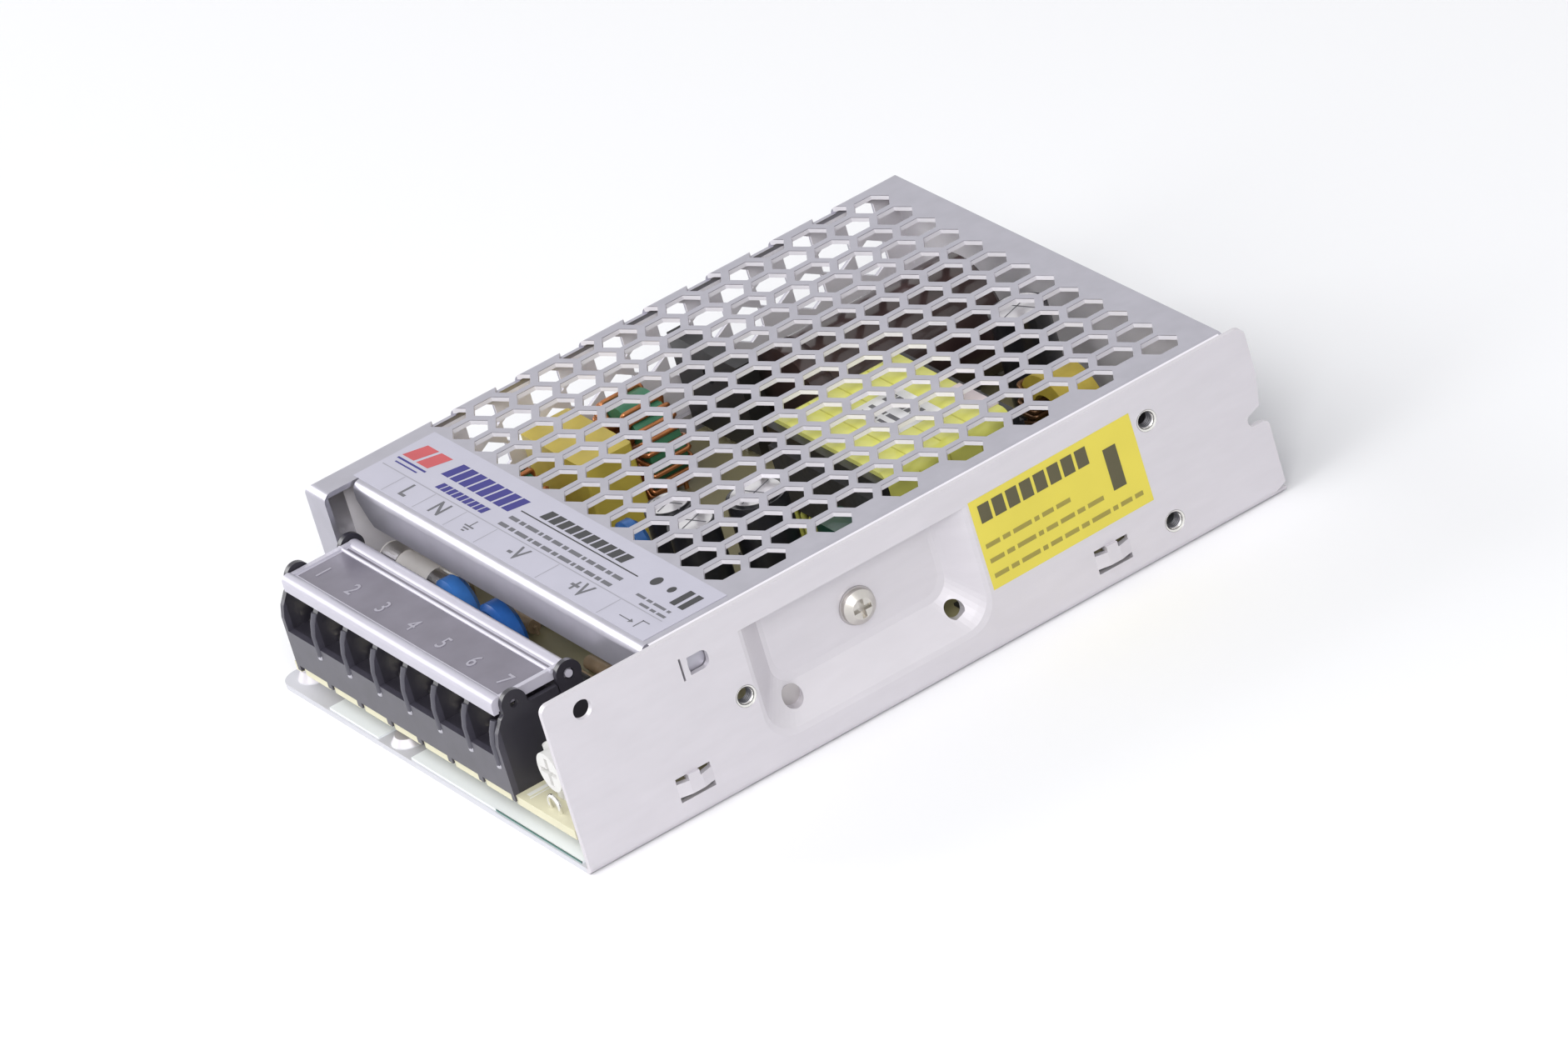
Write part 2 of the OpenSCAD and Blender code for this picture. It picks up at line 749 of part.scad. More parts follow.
module lid_profile() {
    translate([lid_front + lid_rim_r, lid_plate_low]) square([hinge_y - lid_front - lid_rim_r, lid_t]);
    translate([lid_front + lid_rim_r, lid_top - lid_rim_r]) circle(r = lid_rim_r);
    translate([lid_front, lid_top - 2.6]) square([0.9, 2.6 - lid_rim_r]);
    translate([hinge_y, hinge_z]) circle(r = lid_barrel_r);
}

// Trimmer and indicator

module trimmer_body() {
    color("white") difference() {
        union() {
            translate([trimmer_at[0], trimmer_at[1] + trimmer_depth / 2, board_top])
                soft_box(trimmer_w, trimmer_depth, trimmer_h - 2, 0.8);
            along_y_at(trimmer_at, 0, trimmer_depth) circle(d = rotor_d + 1.8);
        }
        along_y_at(trimmer_at, -1, 3) circle(r = 1.2 + run_gap);
    }
}

module along_y_at(at, from, to) {
    translate([at[0], at[1] + to, rotor_z]) rotate([90, 0, 0]) linear_extrude(to - from) children();
}

// Slotted rotor that faces the front; it turns about y
module trimmer_rotor() {
    color("white") difference() {
        union() {
            along_y_at(trimmer_at, -run_gap - 1.6, -run_gap) circle(d = rotor_d);
            along_y_at(trimmer_at, -run_gap - eps, 2.2) circle(r = 1.2);
        }
        translate([trimmer_at[0], trimmer_at[1] - run_gap - 1.6, rotor_z]) {
            cube([rotor_d * 0.72, 1.4, 0.9], center = true);
            cube([0.9, 1.4, rotor_d * 0.72], center = true);
        }
    }
}

module status_led() {
    color("honeydew") translate([block_right + 3.4, trimmer_at[1] + 8, board_top]) {
        cylinder(r = 1.9, h = 1);
        cylinder(r = 1.5, h = 3.6);
        translate([0, 0, 3.6]) sphere(r = 1.5);
    }
}

// Mains inlet parts

module fuse_clips() {
    color("silver") for (x = [fuse_left + 0.4, fuse_left + fuse_len - 4.4]) {
        slab([x, x + 4], [fuse_y - 2.6, fuse_y + 2.6], [board_top, board_top + 0.5]);
        for (sy = [-1, 1]) slab([x, x + 4], [fuse_y + sy * 3.05 - 0.3, fuse_y + sy * 3.05 + 0.3],
            [board_top, fuse_z + 1.4]);
    }
}

module fuse() {
    translate([fuse_left, fuse_y, fuse_z]) rotate([0, 90, 0]) {
        color("white") translate([0, 0, 5]) cylinder(r = fuse_r - 0.15, h = fuse_len - 10);
        color("silver") for (z = [0, fuse_len - 5]) translate([0, 0, z]) cylinder(r = fuse_r, h = 5);
    }
}

// Disc with rounded rims, standing on edge, with two legs down to the board
module disc_part(x, y, r, t, lift) {
    translate([x, y, board_top + lift + r]) rotate([90, 0, 0]) {
        cylinder(r = r - 0.8, h = t, center = true);
        cylinder(r = r, h = t - 1.6, center = true);
        for (s = [-1, 1]) translate([0, 0, s * (t / 2 - 0.4)]) mirror([0, 0, s < 0 ? 1 : 0])
            translate([0, 0, -0.4]) cylinder(r1 = r, r2 = r - 0.8, h = 0.8);
    }
    for (s = [-1, 1]) translate([x + s * r * 0.5, y, board_top]) cylinder(r = 0.4, h = lift + r * 0.4);
}

module varistor() {
    color("royalblue") disc_part(from_left(25.6), disc_y, 5, 3.6, 1.6);
}

module thermistor() {
    color("mediumblue") disc_part(from_left(39.8), disc_y, 5.3, 3.6, 1.4);
}

module y_capacitors() {
    color("dodgerblue") {
        disc_part(from_left(32.6), film_cap_at[1] - 0.3, 4, 3.2, 1.6);
        disc_part(from_right(8.3), from_back(22), 4.4, 3.2, 2.4);
    }
}

module film_capacitor() {
    color("goldenrod") translate([film_cap_at[0] + film_cap_size[0] / 2,
        film_cap_at[1] + film_cap_size[1] / 2, board_top])
        soft_box(film_cap_size[0], film_cap_size[1], film_cap_size[2], 0.6);
}

// Wound rings, standing with their axis along y

module ring_core(at, od, id, h) {
    ring_z = board_top + od / 2 + wire_d + fit_gap;
    translate([at[0], at[1] + h / 2, ring_z]) rotate([90, 0, 0]) difference() {
        cylinder(d = od, h = h);
        translate([0, 0, -1]) cylinder(d = id, h = h + 2);
    }
}

module ring_turn(od, id, h, a) {
    rotate(a) translate([(id + od) / 4, 0, 0]) difference() {
        cube([(od - id) / 2 + 2 * (wire_d + fit_gap), wire_d, h + 2 * (wire_d + fit_gap)], center = true);
        cube([(od - id) / 2 + 2 * fit_gap, wire_d + 1, h + 2 * fit_gap], center = true);
    }
}

module ring_winding(at, od, id, h, from, to) {
    ring_z = board_top + od / 2 + wire_d + fit_gap;
    inner_arc = PI * (id - 2 * (wire_d + fit_gap)) * (to - from) / 360;
    turns = floor(inner_arc / (wire_d + 2 * fit_gap)) + 1;
    translate([at[0], at[1], ring_z]) rotate([90, 0, 0])
        for (k = [0 : turns - 1]) ring_turn(od, id, h, from + (to - from) * k / (turns - 1));
}

module input_choke_core() {
    color("seagreen") ring_core(input_choke_at, input_choke_d, input_choke_d * 0.55, 4.6);
}

module input_choke_winding() {
    color("peru") ring_winding(input_choke_at, input_choke_d, input_choke_d * 0.55, 4.6, -75, 235);
}

module line_choke_core() {
    color("seagreen") ring_core(line_choke_at, line_choke_d, line_choke_d * 0.6, 6.4);
}

module line_choke_windings() {
    color("peru") {
        ring_winding(line_choke_at, line_choke_d, line_choke_d * 0.6, 6.4, -66, 66);
        ring_winding(line_choke_at, line_choke_d, line_choke_d * 0.6, 6.4, 114, 246);
    }
}

module output_choke_core() {
    color("goldenrod") ring_core(output_choke_at, output_choke_d, output_choke_d * 0.58, 6.4);
}

module output_choke_winding() {
    color("peru") ring_winding(output_choke_at, output_choke_d, output_choke_d * 0.58, 6.4, -240, 30);
}

module bridge_rectifier() {
    lift = 2.4;
    body = [21.4, 3.6, room - headroom - 4.8];
    translate([bridge_at[0], bridge_at[1], board_top]) {
        color("#232327") difference() {
            translate([0, 0, lift]) cube(body);
            translate([body[0] / 2, -1, lift + body[2] - 4.5]) rotate([-90, 0, 0]) cylinder(r = 1.6, h = 9);
        }
        color("silver") for (k = [0 : 3]) translate([1.6 + k * 5.5, 1.4, 0]) cube([1.1, 0.8, lift + eps]);
    }
}

// Can lying on its side, with a rolled groove near the front end
module bulk_capacitor() {
    color("#2b2526") translate([bulk_at[0], bulk_at[1], board_top + bulk_r]) rotate([-90, 0, 0]) {
        cylinder(r = bulk_r, h = 2.6);
        translate([0, 0, 2.6]) cylinder(r = bulk_r - 0.7, h = 1.4);
        translate([0, 0, 4]) cylinder(r = bulk_r, h = bulk_len - 4.6);
        translate([0, 0, bulk_len - 0.6]) cylinder(r1 = bulk_r, r2 = bulk_r - 0.6, h = 0.6);
    }
}

// Transformer

module trafo_core_block() {
    translate([trafo_at[0] + 1.4, trafo_at[1] - 2.6, board_top + 6])
        cube([trafo_len - 2.8, trafo_w + 5.2, trafo_h - 9.4]);
}

module transformer_core() {
    color("#2a2a2c") trafo_core_block();
}

module transformer_wrap() {
    color("#d8d860") difference() {
        translate([trafo_at[0] + trafo_len / 2, trafo_at[1],
            board_top + bobbin_foot + (trafo_h - bobbin_foot) / 2])
            rotate([-90, 0, 0]) soft_box(trafo_len, trafo_h - bobbin_foot, trafo_w, 2);
        trafo_core_block();
    }
}

module transformer_bobbin() {
    flange_low = board_top + bobbin_foot;
    color("#1d1d1f") difference() {
        union() {
            slab([trafo_at[0] + 0.6, trafo_at[0] + trafo_len - 0.6],
                [trafo_at[1] - 1.4, trafo_at[1] + trafo_w + 1.4],
                [board_top, flange_low]);
            for (y = [trafo_at[1] - 1.4, trafo_at[1] + trafo_w])
                slab([trafo_at[0] + 0.2, trafo_at[0] + trafo_len - 0.2], [y, y + 1.4],
                    [flange_low - eps, board_top + trafo_h - 0.8]);
        }
        trafo_core_block();
    }
}

module snubber_capacitor() {
    color("darkslategray") translate([snubber_at[0], snubber_at[1], board_top]) soft_box(9, 5, 13.5, 0.8);
}

module output_capacitors() {
    for (c = cans) translate([c[0], c[1], board_top]) {
        color("#26292c") {
            cylinder(d = c[2], h = 1.6);
            translate([0, 0, 1.6]) cylinder(d = c[2] - 0.9, h = 1);
            translate([0, 0, 2.6]) cylinder(d = c[2], h = c[3] - 2.6);
        }
        color("silver") translate([0, 0, c[3]]) difference() {
            cylinder(d = c[2] - 1.2, h = 0.3);
            for (a = [0, 90]) rotate(a) translate([-c[2] / 2, -0.15, 0.15]) cube([c[2], 0.3, 1]);
        }
    }
}

// Power devices on the pocket's back

module power_device(y) {
    z_body = device_low + 2;
    color("#202024") slab([device_back - device_t, device_back - 1.2], [y - 5, y + 5], [z_body, z_body + 9]);
    color("silver") slab([device_back - 1.2, device_back], [y - 5, y + 5], [z_body, z_body + 12.5]);
    color("silver") for (dy = [-2.54, 0, 2.54])
        slab([device_back - 2.6, device_back - 2], [y + dy - 0.4, y + dy + 0.4], [board_top, z_body + eps]);
}

module power_transistor() {
    power_device(clamp_y - device_offset);
}

module output_rectifier() {
    power_device(clamp_y + device_offset);
}

module insulating_pads() {
    color("pink") for (s = [-1, 1])
        slab([device_back, pocket_back_face],
            [clamp_y + s * device_offset - 5.6, clamp_y + s * device_offset + 5.6],
            [device_low + 1.4, device_low + 15]);
}

// Spring bar across both devices
module clamp_bar() {
    bar_x = device_back - device_t;
    color("gray") difference() {
        slab([bar_x - 1, bar_x], [clamp_y - device_offset - 4, clamp_y + device_offset + 4],
            [clamp_z - 3, clamp_z + 3]);
        translate([bar_x - 2, clamp_y, clamp_z]) rotate([0, 90, 0]) cylinder(r = screw_r + 0.1, h = 4);
    }
}

module clamp_screw() {
    reach = pocket_in - (device_back - device_t - 1) + 2.6;
    color("silver") translate([pocket_in, clamp_y, clamp_z]) rotate([0, 90, 0])
        pan_screw(reach, screw_r - 0.1, head_d, head_h);
}

module clamp_nut() {
    color("silver") translate([device_back - device_t - 1 - 2.4, clamp_y, clamp_z]) rotate([0, 90, 0])
        difference() {
        cylinder(d = 6.2, h = 2.4, $fn = 6);
        translate([0, 0, -1]) cylinder(r = screw_r - 0.1, h = 5);
    }
}

// Small parts

module chip(x, y, w, d, pins) {
    color("#202024") slab([x - w / 2, x + w / 2], [y - d / 2, y + d / 2], [board_top + 0.6, board_top + 4]);
    color("silver") for (s = [-1, 1], k = [0 : pins - 1])
        slab([x - (pins - 1) * 1.27 + k * 2.54 - 0.3, x - (pins - 1) * 1.27 + k * 2.54 + 0.3],
            [y + s * (d / 2 + 0.2) - 0.2, y + s * (d / 2 + 0.2) + 0.2], [board_top, board_top + 2.4]);
}

module controller_chip() {
    chip(chip_at[0], chip_at[1], 9.6, 6.4, 4);
}

module optocoupler() {
    chip(opto_at[0], opto_at[1], 4.8, 6.4, 2);
}

module resistors() {
    for (p = [[30, 12], [30, 15.5], [54, 8], [54, 11.5], [54, 15]])
        translate([from_left(p[0]), block_back + p[1], board_top + 1.2]) {
        color("tan") rotate([0, 90, 0]) cylinder(r = 1.2, h = 6, center = true);
        color("silver") for (s = [-1, 1]) translate([s * 3.6, 0, -1.2]) cylinder(r = 0.3, h = 1.5);
        color("silver") for (s = [-1, 1]) translate([s * 3.3, 0, 0]) rotate([0, 90, 0])
            cylinder(r = 0.3, h = 0.9, center = true);
    }
}

// Bare wire loops that stand on the board
module jumper_wires() {
    places = [[trimmer_at[0] - 0.4, trimmer_at[1] - 2.4], [from_right(13.4), block_back + 1.7],
        [from_left(66), block_back + 11]];
    color("silver") for (p = places) translate([p[0], p[1], board_top + 1])
        rotate([90, 0, 0]) {
            rotate_extrude(angle = 180) translate([1.5, 0]) circle(r = 0.35, $fn = 24);
            for (s = [-1, 1]) translate([s * 1.5, 0, 0]) rotate([90, 0, 0]) cylinder(r = 0.35, h = 1);
        }
}

// Labels

module rating_label() {
    color("whitesmoke") slab([x_left + 5, cover_right - 2.4], [y_lip + 1.6, y_lip + 16.8],
        [cover_top, cover_top + label_t]);
}

module side_label() {
    color("yellow") translate([x_wall, y_front + 91.4, 17.8]) rotate([90, 0, 90]) rotate(0.8)
        linear_extrude(label_t) square([30, 15.4], center = true);
}

chassis();
mesh_cover();
cover_screws();
insulation_film();
circuit_board();
board_screws();
terminal_block();
terminal_contacts();
terminal_washers();
terminal_screws();
terminal_lid();
trimmer_body();
trimmer_rotor();
status_led();
fuse_clips();
fuse();
varistor();
thermistor();
y_capacitors();
film_capacitor();
input_choke_core();
input_choke_winding();
line_choke_core();
line_choke_windings();
bridge_rectifier();
bulk_capacitor();
transformer_core();
transformer_bobbin();
transformer_wrap();
snubber_capacitor();
output_capacitors();
output_choke_core();
output_choke_winding();
power_transistor();
output_rectifier();
insulating_pads();
clamp_bar();
clamp_screw();
clamp_nut();
controller_chip();
optocoupler();
resistors();
jumper_wires();
rating_label();
side_label();
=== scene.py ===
import json
import math
import random

import bmesh
import bpy
from mathutils import Matrix, Vector


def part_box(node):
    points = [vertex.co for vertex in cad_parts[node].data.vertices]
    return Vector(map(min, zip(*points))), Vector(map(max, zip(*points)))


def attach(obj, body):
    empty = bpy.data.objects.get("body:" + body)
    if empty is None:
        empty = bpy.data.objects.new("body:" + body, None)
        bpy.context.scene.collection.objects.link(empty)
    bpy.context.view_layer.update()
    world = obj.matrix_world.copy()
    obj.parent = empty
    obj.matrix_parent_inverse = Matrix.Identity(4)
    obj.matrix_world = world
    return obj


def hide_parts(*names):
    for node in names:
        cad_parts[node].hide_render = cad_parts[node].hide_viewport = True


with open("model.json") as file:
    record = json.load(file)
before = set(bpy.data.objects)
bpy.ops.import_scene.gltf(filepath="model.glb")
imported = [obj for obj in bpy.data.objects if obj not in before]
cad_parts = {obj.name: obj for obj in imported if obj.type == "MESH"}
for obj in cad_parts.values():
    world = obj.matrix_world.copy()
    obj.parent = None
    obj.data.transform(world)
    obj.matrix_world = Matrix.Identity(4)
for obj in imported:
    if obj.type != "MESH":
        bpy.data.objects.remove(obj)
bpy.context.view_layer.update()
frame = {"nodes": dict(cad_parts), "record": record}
nodes = frame["nodes"]
mm = 0.001


def newMaterial(name):
    mat = bpy.data.materials.new(name)
    mat.use_nodes = True
    return mat, mat.node_tree, mat.node_tree.nodes["Principled BSDF"]


def addNode(tree, kind, inputs=None, **settings):
    node = tree.nodes.new(kind)
    for key, value in settings.items():
        setattr(node, key, value)
    for key, value in (inputs or {}).items():
        node.inputs[key].default_value = value
    return node


def twoTone(tree, factor, low, high, start=0.3, end=0.7):
    ramp = addNode(tree, "ShaderNodeValToRGB")
    for element, place, colour in zip(ramp.color_ramp.elements, (start, end), (low, high)):
        element.position = place
        element.color = (*colour, 1)
    tree.links.new(factor, ramp.inputs["Fac"])
    return ramp.outputs["Color"]


def grainOn(tree, scale, detail=3, stretch=(1, 1, 1)):
    # noise in the object's own coordinates, stretched for a rolled or drawn grain
    place = addNode(tree, "ShaderNodeTexCoord")
    turn = addNode(tree, "ShaderNodeMapping")
    turn.inputs["Scale"].default_value = stretch
    noise = addNode(tree, "ShaderNodeTexNoise", {"Scale": scale, "Detail": detail})
    tree.links.new(place.outputs["Object"], turn.inputs["Vector"])
    tree.links.new(turn.outputs["Vector"], noise.inputs["Vector"])
    return noise.outputs["Fac"]


def addBump(tree, shader, height, strength, distance=0.1 * mm):
    bump = addNode(tree, "ShaderNodeBump", {"Strength": strength, "Distance": distance})
    tree.links.new(height, bump.inputs["Height"])
    tree.links.new(bump.outputs["Normal"], shader.inputs["Normal"])


def finish(name, colour, rough=0.5, metal=0.0, spread=0.05, grain=220, stretch=(1, 1, 1), bump=0.0, coat=0.0):
    mat, tree, shader = newMaterial(name)
    noise = grainOn(tree, grain, stretch=stretch)
    low = [c * (1 - spread) for c in colour]
    high = [min(1, c * (1 + spread)) for c in colour]
    tree.links.new(twoTone(tree, noise, low, high), shader.inputs["Base Color"])
    shader.inputs["Roughness"].default_value = rough
    shader.inputs["Metallic"].default_value = metal
    shader.inputs["Coat Weight"].default_value = coat
    if bump:
        addBump(tree, shader, noise, bump)
    return mat


def zonedFinish(name, body, zones, trim=(0.76, 0.75, 0.72), rough=(0.4, 0.28), grain=300, metal=(0.0, 0.95),
                spread=0.15, alpha=1.0, stretch=(1, 1, 1), bump=0.0):
    # the body's colour, with the trim wherever all tests (axis, test, limits) of one of the zones hold
    mat, tree, shader = newMaterial(name)
    place = addNode(tree, "ShaderNodeTexCoord")
    parts = addNode(tree, "ShaderNodeSeparateXYZ")
    tree.links.new(place.outputs["Object"], parts.inputs[0])

    def joined(first, second, operation):
        if first is None:
            return second
        both = addNode(tree, "ShaderNodeMath", operation=operation)
        tree.links.new(first, both.inputs[0])
        tree.links.new(second, both.inputs[1])
        return both.outputs[0]

    inside = None
    for zone in zones:
        held = None
        for axis, test, *limits in zone:
            step = addNode(tree, "ShaderNodeMath", dict(enumerate(limits, 1)), operation=test)
            tree.links.new(parts.outputs[axis], step.inputs[0])
            held = joined(held, step.outputs[0], "MINIMUM")
        inside = joined(inside, held, "MAXIMUM")
    noise = grainOn(tree, grain, stretch=stretch)
    if bump:
        addBump(tree, shader, noise, bump)
    mix = addNode(tree, "ShaderNodeMix", data_type="RGBA")
    tree.links.new(inside, mix.inputs["Factor"])
    dark, light = [[c * k for c in body] for k in (1 - spread, 1 + spread)]
    tree.links.new(twoTone(tree, noise, dark, light), mix.inputs["A"])
    tree.links.new(twoTone(tree, noise, [c * 0.96 for c in trim], trim), mix.inputs["B"])
    tree.links.new(mix.outputs["Result"], shader.inputs["Base Color"])
    shader.inputs["Alpha"].default_value = alpha
    for socket, (low, high) in (("Roughness", rough), ("Metallic", metal)):
        if low == high:
            shader.inputs[socket].default_value = low
            continue
        span = addNode(tree, "ShaderNodeMapRange", {"To Min": low, "To Max": high})
        tree.links.new(inside, span.inputs["Value"])
        tree.links.new(span.outputs["Result"], shader.inputs[socket])
    return mat


def clearPlastic(name, colour, rough, alpha):
    mat, tree, shader = newMaterial(name)
    shader.inputs["Base Color"].default_value = (*colour, 1)
    shader.inputs["Roughness"].default_value = rough
    shader.inputs["Alpha"].default_value = alpha
    addBump(tree, shader, grainOn(tree, 150), 0.05)
    return mat


def newObject(name, data):
    obj = bpy.data.objects.new(name, data)
    bpy.context.scene.collection.objects.link(obj)
    return obj


def middle(node):
    low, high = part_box(node)
    return (low + high) / 2


def solidBoxes(node):
    # lowest and highest corner of each separate solid in a CAD node, from left to right
    bm = bmesh.new()
    bm.from_mesh(nodes[node].data)
    bmesh.ops.remove_doubles(bm, verts=bm.verts, dist=1e-6)
    left = set(bm.verts)
    found = []
    while left:
        group = [left.pop()]
        for vert in group:
            for edge in vert.link_edges:
                other = edge.other_vert(vert)
                if other in left:
                    left.remove(other)
                    group.append(other)
        low = Vector([min(v.co[k] for v in group) for k in range(3)])
        high = Vector([max(v.co[k] for v in group) for k in range(3)])
        found.append((low, high))
    bm.free()
    return sorted(found, key=lambda pair: pair[0][:])


def addPiece(name, bm, mat, body="case", smooth=False):
    bmesh.ops.recalc_face_normals(bm, faces=bm.faces)
    mesh = bpy.data.meshes.new(name)
    bm.to_mesh(mesh)
    bm.free()
    for face in mesh.polygons:
        face.use_smooth = smooth
    mesh.materials.append(mat)
    obj = newObject(name, mesh)
    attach(obj, body)
    return obj


def addBlock(bm, low, high, bevel=0.0):
    size = [h - l for l, h in zip(low, high)]
    place = [(l + h) / 2 for l, h in zip(low, high)]
    made = bmesh.ops.create_cube(bm, size=1, matrix=Matrix.Translation(place) @ Matrix.Diagonal((*size, 1)))
    if bevel:
        edges = list({edge for vert in made["verts"] for edge in vert.link_edges})
        bmesh.ops.bevel(bm, geom=edges, affect="EDGES", offset=bevel, segments=2, profile=0.5, material=-1)


def takeCurve(bm, curve, place=Matrix()):
    # the curve's surface as a mesh, moved to its place; the curve itself goes
    holder = bpy.data.objects.new("holder", curve)
    mesh = bpy.data.meshes.new_from_object(holder)
    mesh.transform(place)
    bm.from_mesh(mesh)
    bpy.data.objects.remove(holder)
    bpy.data.curves.remove(curve)
    bpy.data.meshes.remove(mesh)


def addWires(bm, paths, radius, closed=False):
    # round wires along paths of points
    curve = bpy.data.curves.new("wires", "CURVE")
    curve.dimensions = "3D"
    curve.bevel_depth = radius
    curve.bevel_resolution = 2
    curve.use_fill_caps = not closed
    for path in paths:
        spline = curve.splines.new("POLY")
        spline.points.add(len(path) - 1)
        spline.use_cyclic_u = closed
        for point, place in zip(spline.points, path):
            point.co = (*place, 1)
    takeCurve(bm, curve)


def addSpun(bm, centre, axis, profile, closed=False, steps=32):
    # an outline of (radius, height) points spun about an axis through the centre
    turn = Vector((0, 0, 1)).rotation_difference(Vector(axis)).to_matrix()
    verts = [bm.verts.new(Vector(centre) + turn @ Vector((r, 0, h))) for r, h in profile]
    ends = verts[1:] + verts[:1] if closed else verts[1:]
    edges = [bm.edges.new(pair) for pair in zip(verts, ends)]
    bmesh.ops.spin(bm, geom=verts + edges, cent=centre, axis=axis, angle=2 * math.pi, steps=steps,
                   use_merge=True, use_duplicate=False)
    bmesh.ops.remove_doubles(bm, verts=bm.verts, dist=1e-6)


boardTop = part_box("circuit_board")[1].z
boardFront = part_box("circuit_board")[0].y
blockFront, blockBack = (corner.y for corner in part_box("terminal_block"))
coverLow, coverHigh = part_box("mesh_cover")
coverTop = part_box("rating_label")[0].z
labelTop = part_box("rating_label")[1].z
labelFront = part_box("rating_label")[0].y
lidLow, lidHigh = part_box("terminal_lid")
bays = solidBoxes("terminal_screws")
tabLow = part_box("insulating_pads")[0].x
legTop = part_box("power_transistor")[0].z + 4.4 * mm
chipMiddle, optoMiddle = middle("controller_chip"), middle("optocoupler")
chipHalf = 3.21 * mm

# sheet metal: a duller front sill on the case; on the cover, painted light: its inner faces and the cut edges
# of its mesh holes are painted paler, as if lit through the mesh
frontSill = (("Z", "LESS_THAN", 1.15 * mm), ("Y", "LESS_THAN", -48 * mm), ("X", "LESS_THAN", 47 * mm))
below = ("Z", "LESS_THAN", coverTop - 2 * mm)
inLeft = ("X", "GREATER_THAN", coverLow.x + 0.5 * mm)
inBack = ("Y", "LESS_THAN", coverHigh.y - 0.5 * mm)
# painted light: pale trim on the inner faces of the cover's left and back walls and on its mesh hole edges
leftInsidePaintedLit = (("X", "COMPARE", coverLow.x + 1.6 * mm, 1.1 * mm),
              ("Y", "GREATER_THAN", labelFront - 0.8 * mm), inBack, below)
backInsidePaintedLit = (("Y", "COMPARE", coverHigh.y - 1.6 * mm, 1.1 * mm), inLeft, below)
meshEdgesPaintedLit = (("Z", "COMPARE", coverTop - 0.55 * mm, 0.45 * mm),
             ("Y", "GREATER_THAN", labelFront), inLeft, inBack)
brushedAluminium = zonedFinish("brushedAluminium", (0.63, 0.605, 0.64), [frontSill], (0.60, 0.60, 0.64),
                               (0.45, 0.5), 120, (0.45, 0.2), 0.02, stretch=(0.25, 1, 4), bump=0.04)
galvanisedSteel = zonedFinish("galvanisedSteel", (0.43, 0.42, 0.475), [leftInsidePaintedLit, backInsidePaintedLit, meshEdgesPaintedLit],
                              (0.82, 0.795, 0.845), (0.34, 0.6), 260, (0.7, 0.05), 0.04)
brightPlate = finish("brightPlate", (0.80, 0.79, 0.76), 0.25, 1.0, 0.03, 400)
screwPlate = finish("screwPlate", (0.60, 0.575, 0.54), 0.34, 0.9, 0.05, 400)
tinnedBrass = finish("tinnedBrass", (0.72, 0.68, 0.56), 0.3, 1.0, 0.04, 300)
solderGrey = finish("solderGrey", (0.62, 0.62, 0.60), 0.3, 0.9)
holeShade = finish("holeShade", (0.10, 0.10, 0.11), 0.5, 0.6)
pressedShade = finish("pressedShade", (0.42, 0.395, 0.40), 0.5, 0.5)

# mouldings, films and clear parts; the block is darker behind its front face, a painted shade
shadeBehindFront = (("Y", "GREATER_THAN", blockFront + 1 * mm),)
blackMoulding = zonedFinish("blackMoulding", (0.052, 0.049, 0.066), [shadeBehindFront], (0.028, 0.026, 0.035),
                            (0.3, 0.3), 300, (0.0, 0.0), 0.12, bump=0.05)
bobbinBlack = finish("bobbinBlack", (0.016, 0.016, 0.018), 0.35, 0, 0.15, 300)
noseBlack = finish("noseBlack", (0.075, 0.073, 0.092), 0.25, 0, 0.05, 300)
# pale beads at the lower ends of the barrier noses, a painted highlight
glintGrey = finish("glintGrey", (0.44, 0.43, 0.48), 0.35)
blackMatte = finish("blackMatte", (0.022, 0.022, 0.025), 0.5, 0, 0.2, 500, bump=0.1)
whiteMoulding = finish("whiteMoulding", (0.66, 0.655, 0.64), 0.4)
ledGreen = finish("ledGreen", (0.62, 0.78, 0.55), 0.2, coat=0.5)
filmBlue = clearPlastic("filmBlue", (0.90, 0.94, 0.96), 0.3, 0.94)
filmEdge = finish("filmEdge", (0.05, 0.17, 0.14), 0.4)
# the lid's rims get the pale trim: partly frosted plastic and partly a painted highlight
lidBorderHighlight = [(("Y", "LESS_THAN", lidLow.y + 2.3 * mm),), (("Y", "GREATER_THAN", lidHigh.y - 2.8 * mm),),
             (("X", "LESS_THAN", bays[0][0].x),), (("X", "GREATER_THAN", bays[-1][1].x),)]
lidClear = zonedFinish("lidClear", (0.20, 0.185, 0.23), lidBorderHighlight, (0.58, 0.56, 0.64), (0.25, 0.18), 150,
                       (0.0, 0.0), 0.1, 0.85)
# painted highlight for the lid's ridge
lidRimHighlight = finish("lidRimHighlight", (0.58, 0.56, 0.64), 0.18)
numberWhite = finish("numberWhite", (0.35, 0.335, 0.39), 0.4)
# painted shade: the laminate is painted dark all over, save its front edge and the corner right of the block,
# which keep the lit laminate colour
unshadedBoard = [(("Y", "LESS_THAN", boardFront + 0.25 * mm),),
             (("Y", "LESS_THAN", blockBack - 2 * mm), ("X", "GREATER_THAN", bays[-1][1].x))]
laminate = zonedFinish("laminate", (0.30, 0.27, 0.15), unshadedBoard, (0.67, 0.64, 0.46), (0.45, 0.5), 160,
                       (0.0, 0.0), 0.04)
silkWhite = finish("silkWhite", (0.75, 0.75, 0.70), 0.5)


def legRows(place):
    # the two rows of legs, before and behind a chip's body
    return [(("Y", "LESS_THAN", place.y - chipHalf),), (("Y", "GREATER_THAN", place.y + chipHalf),)]


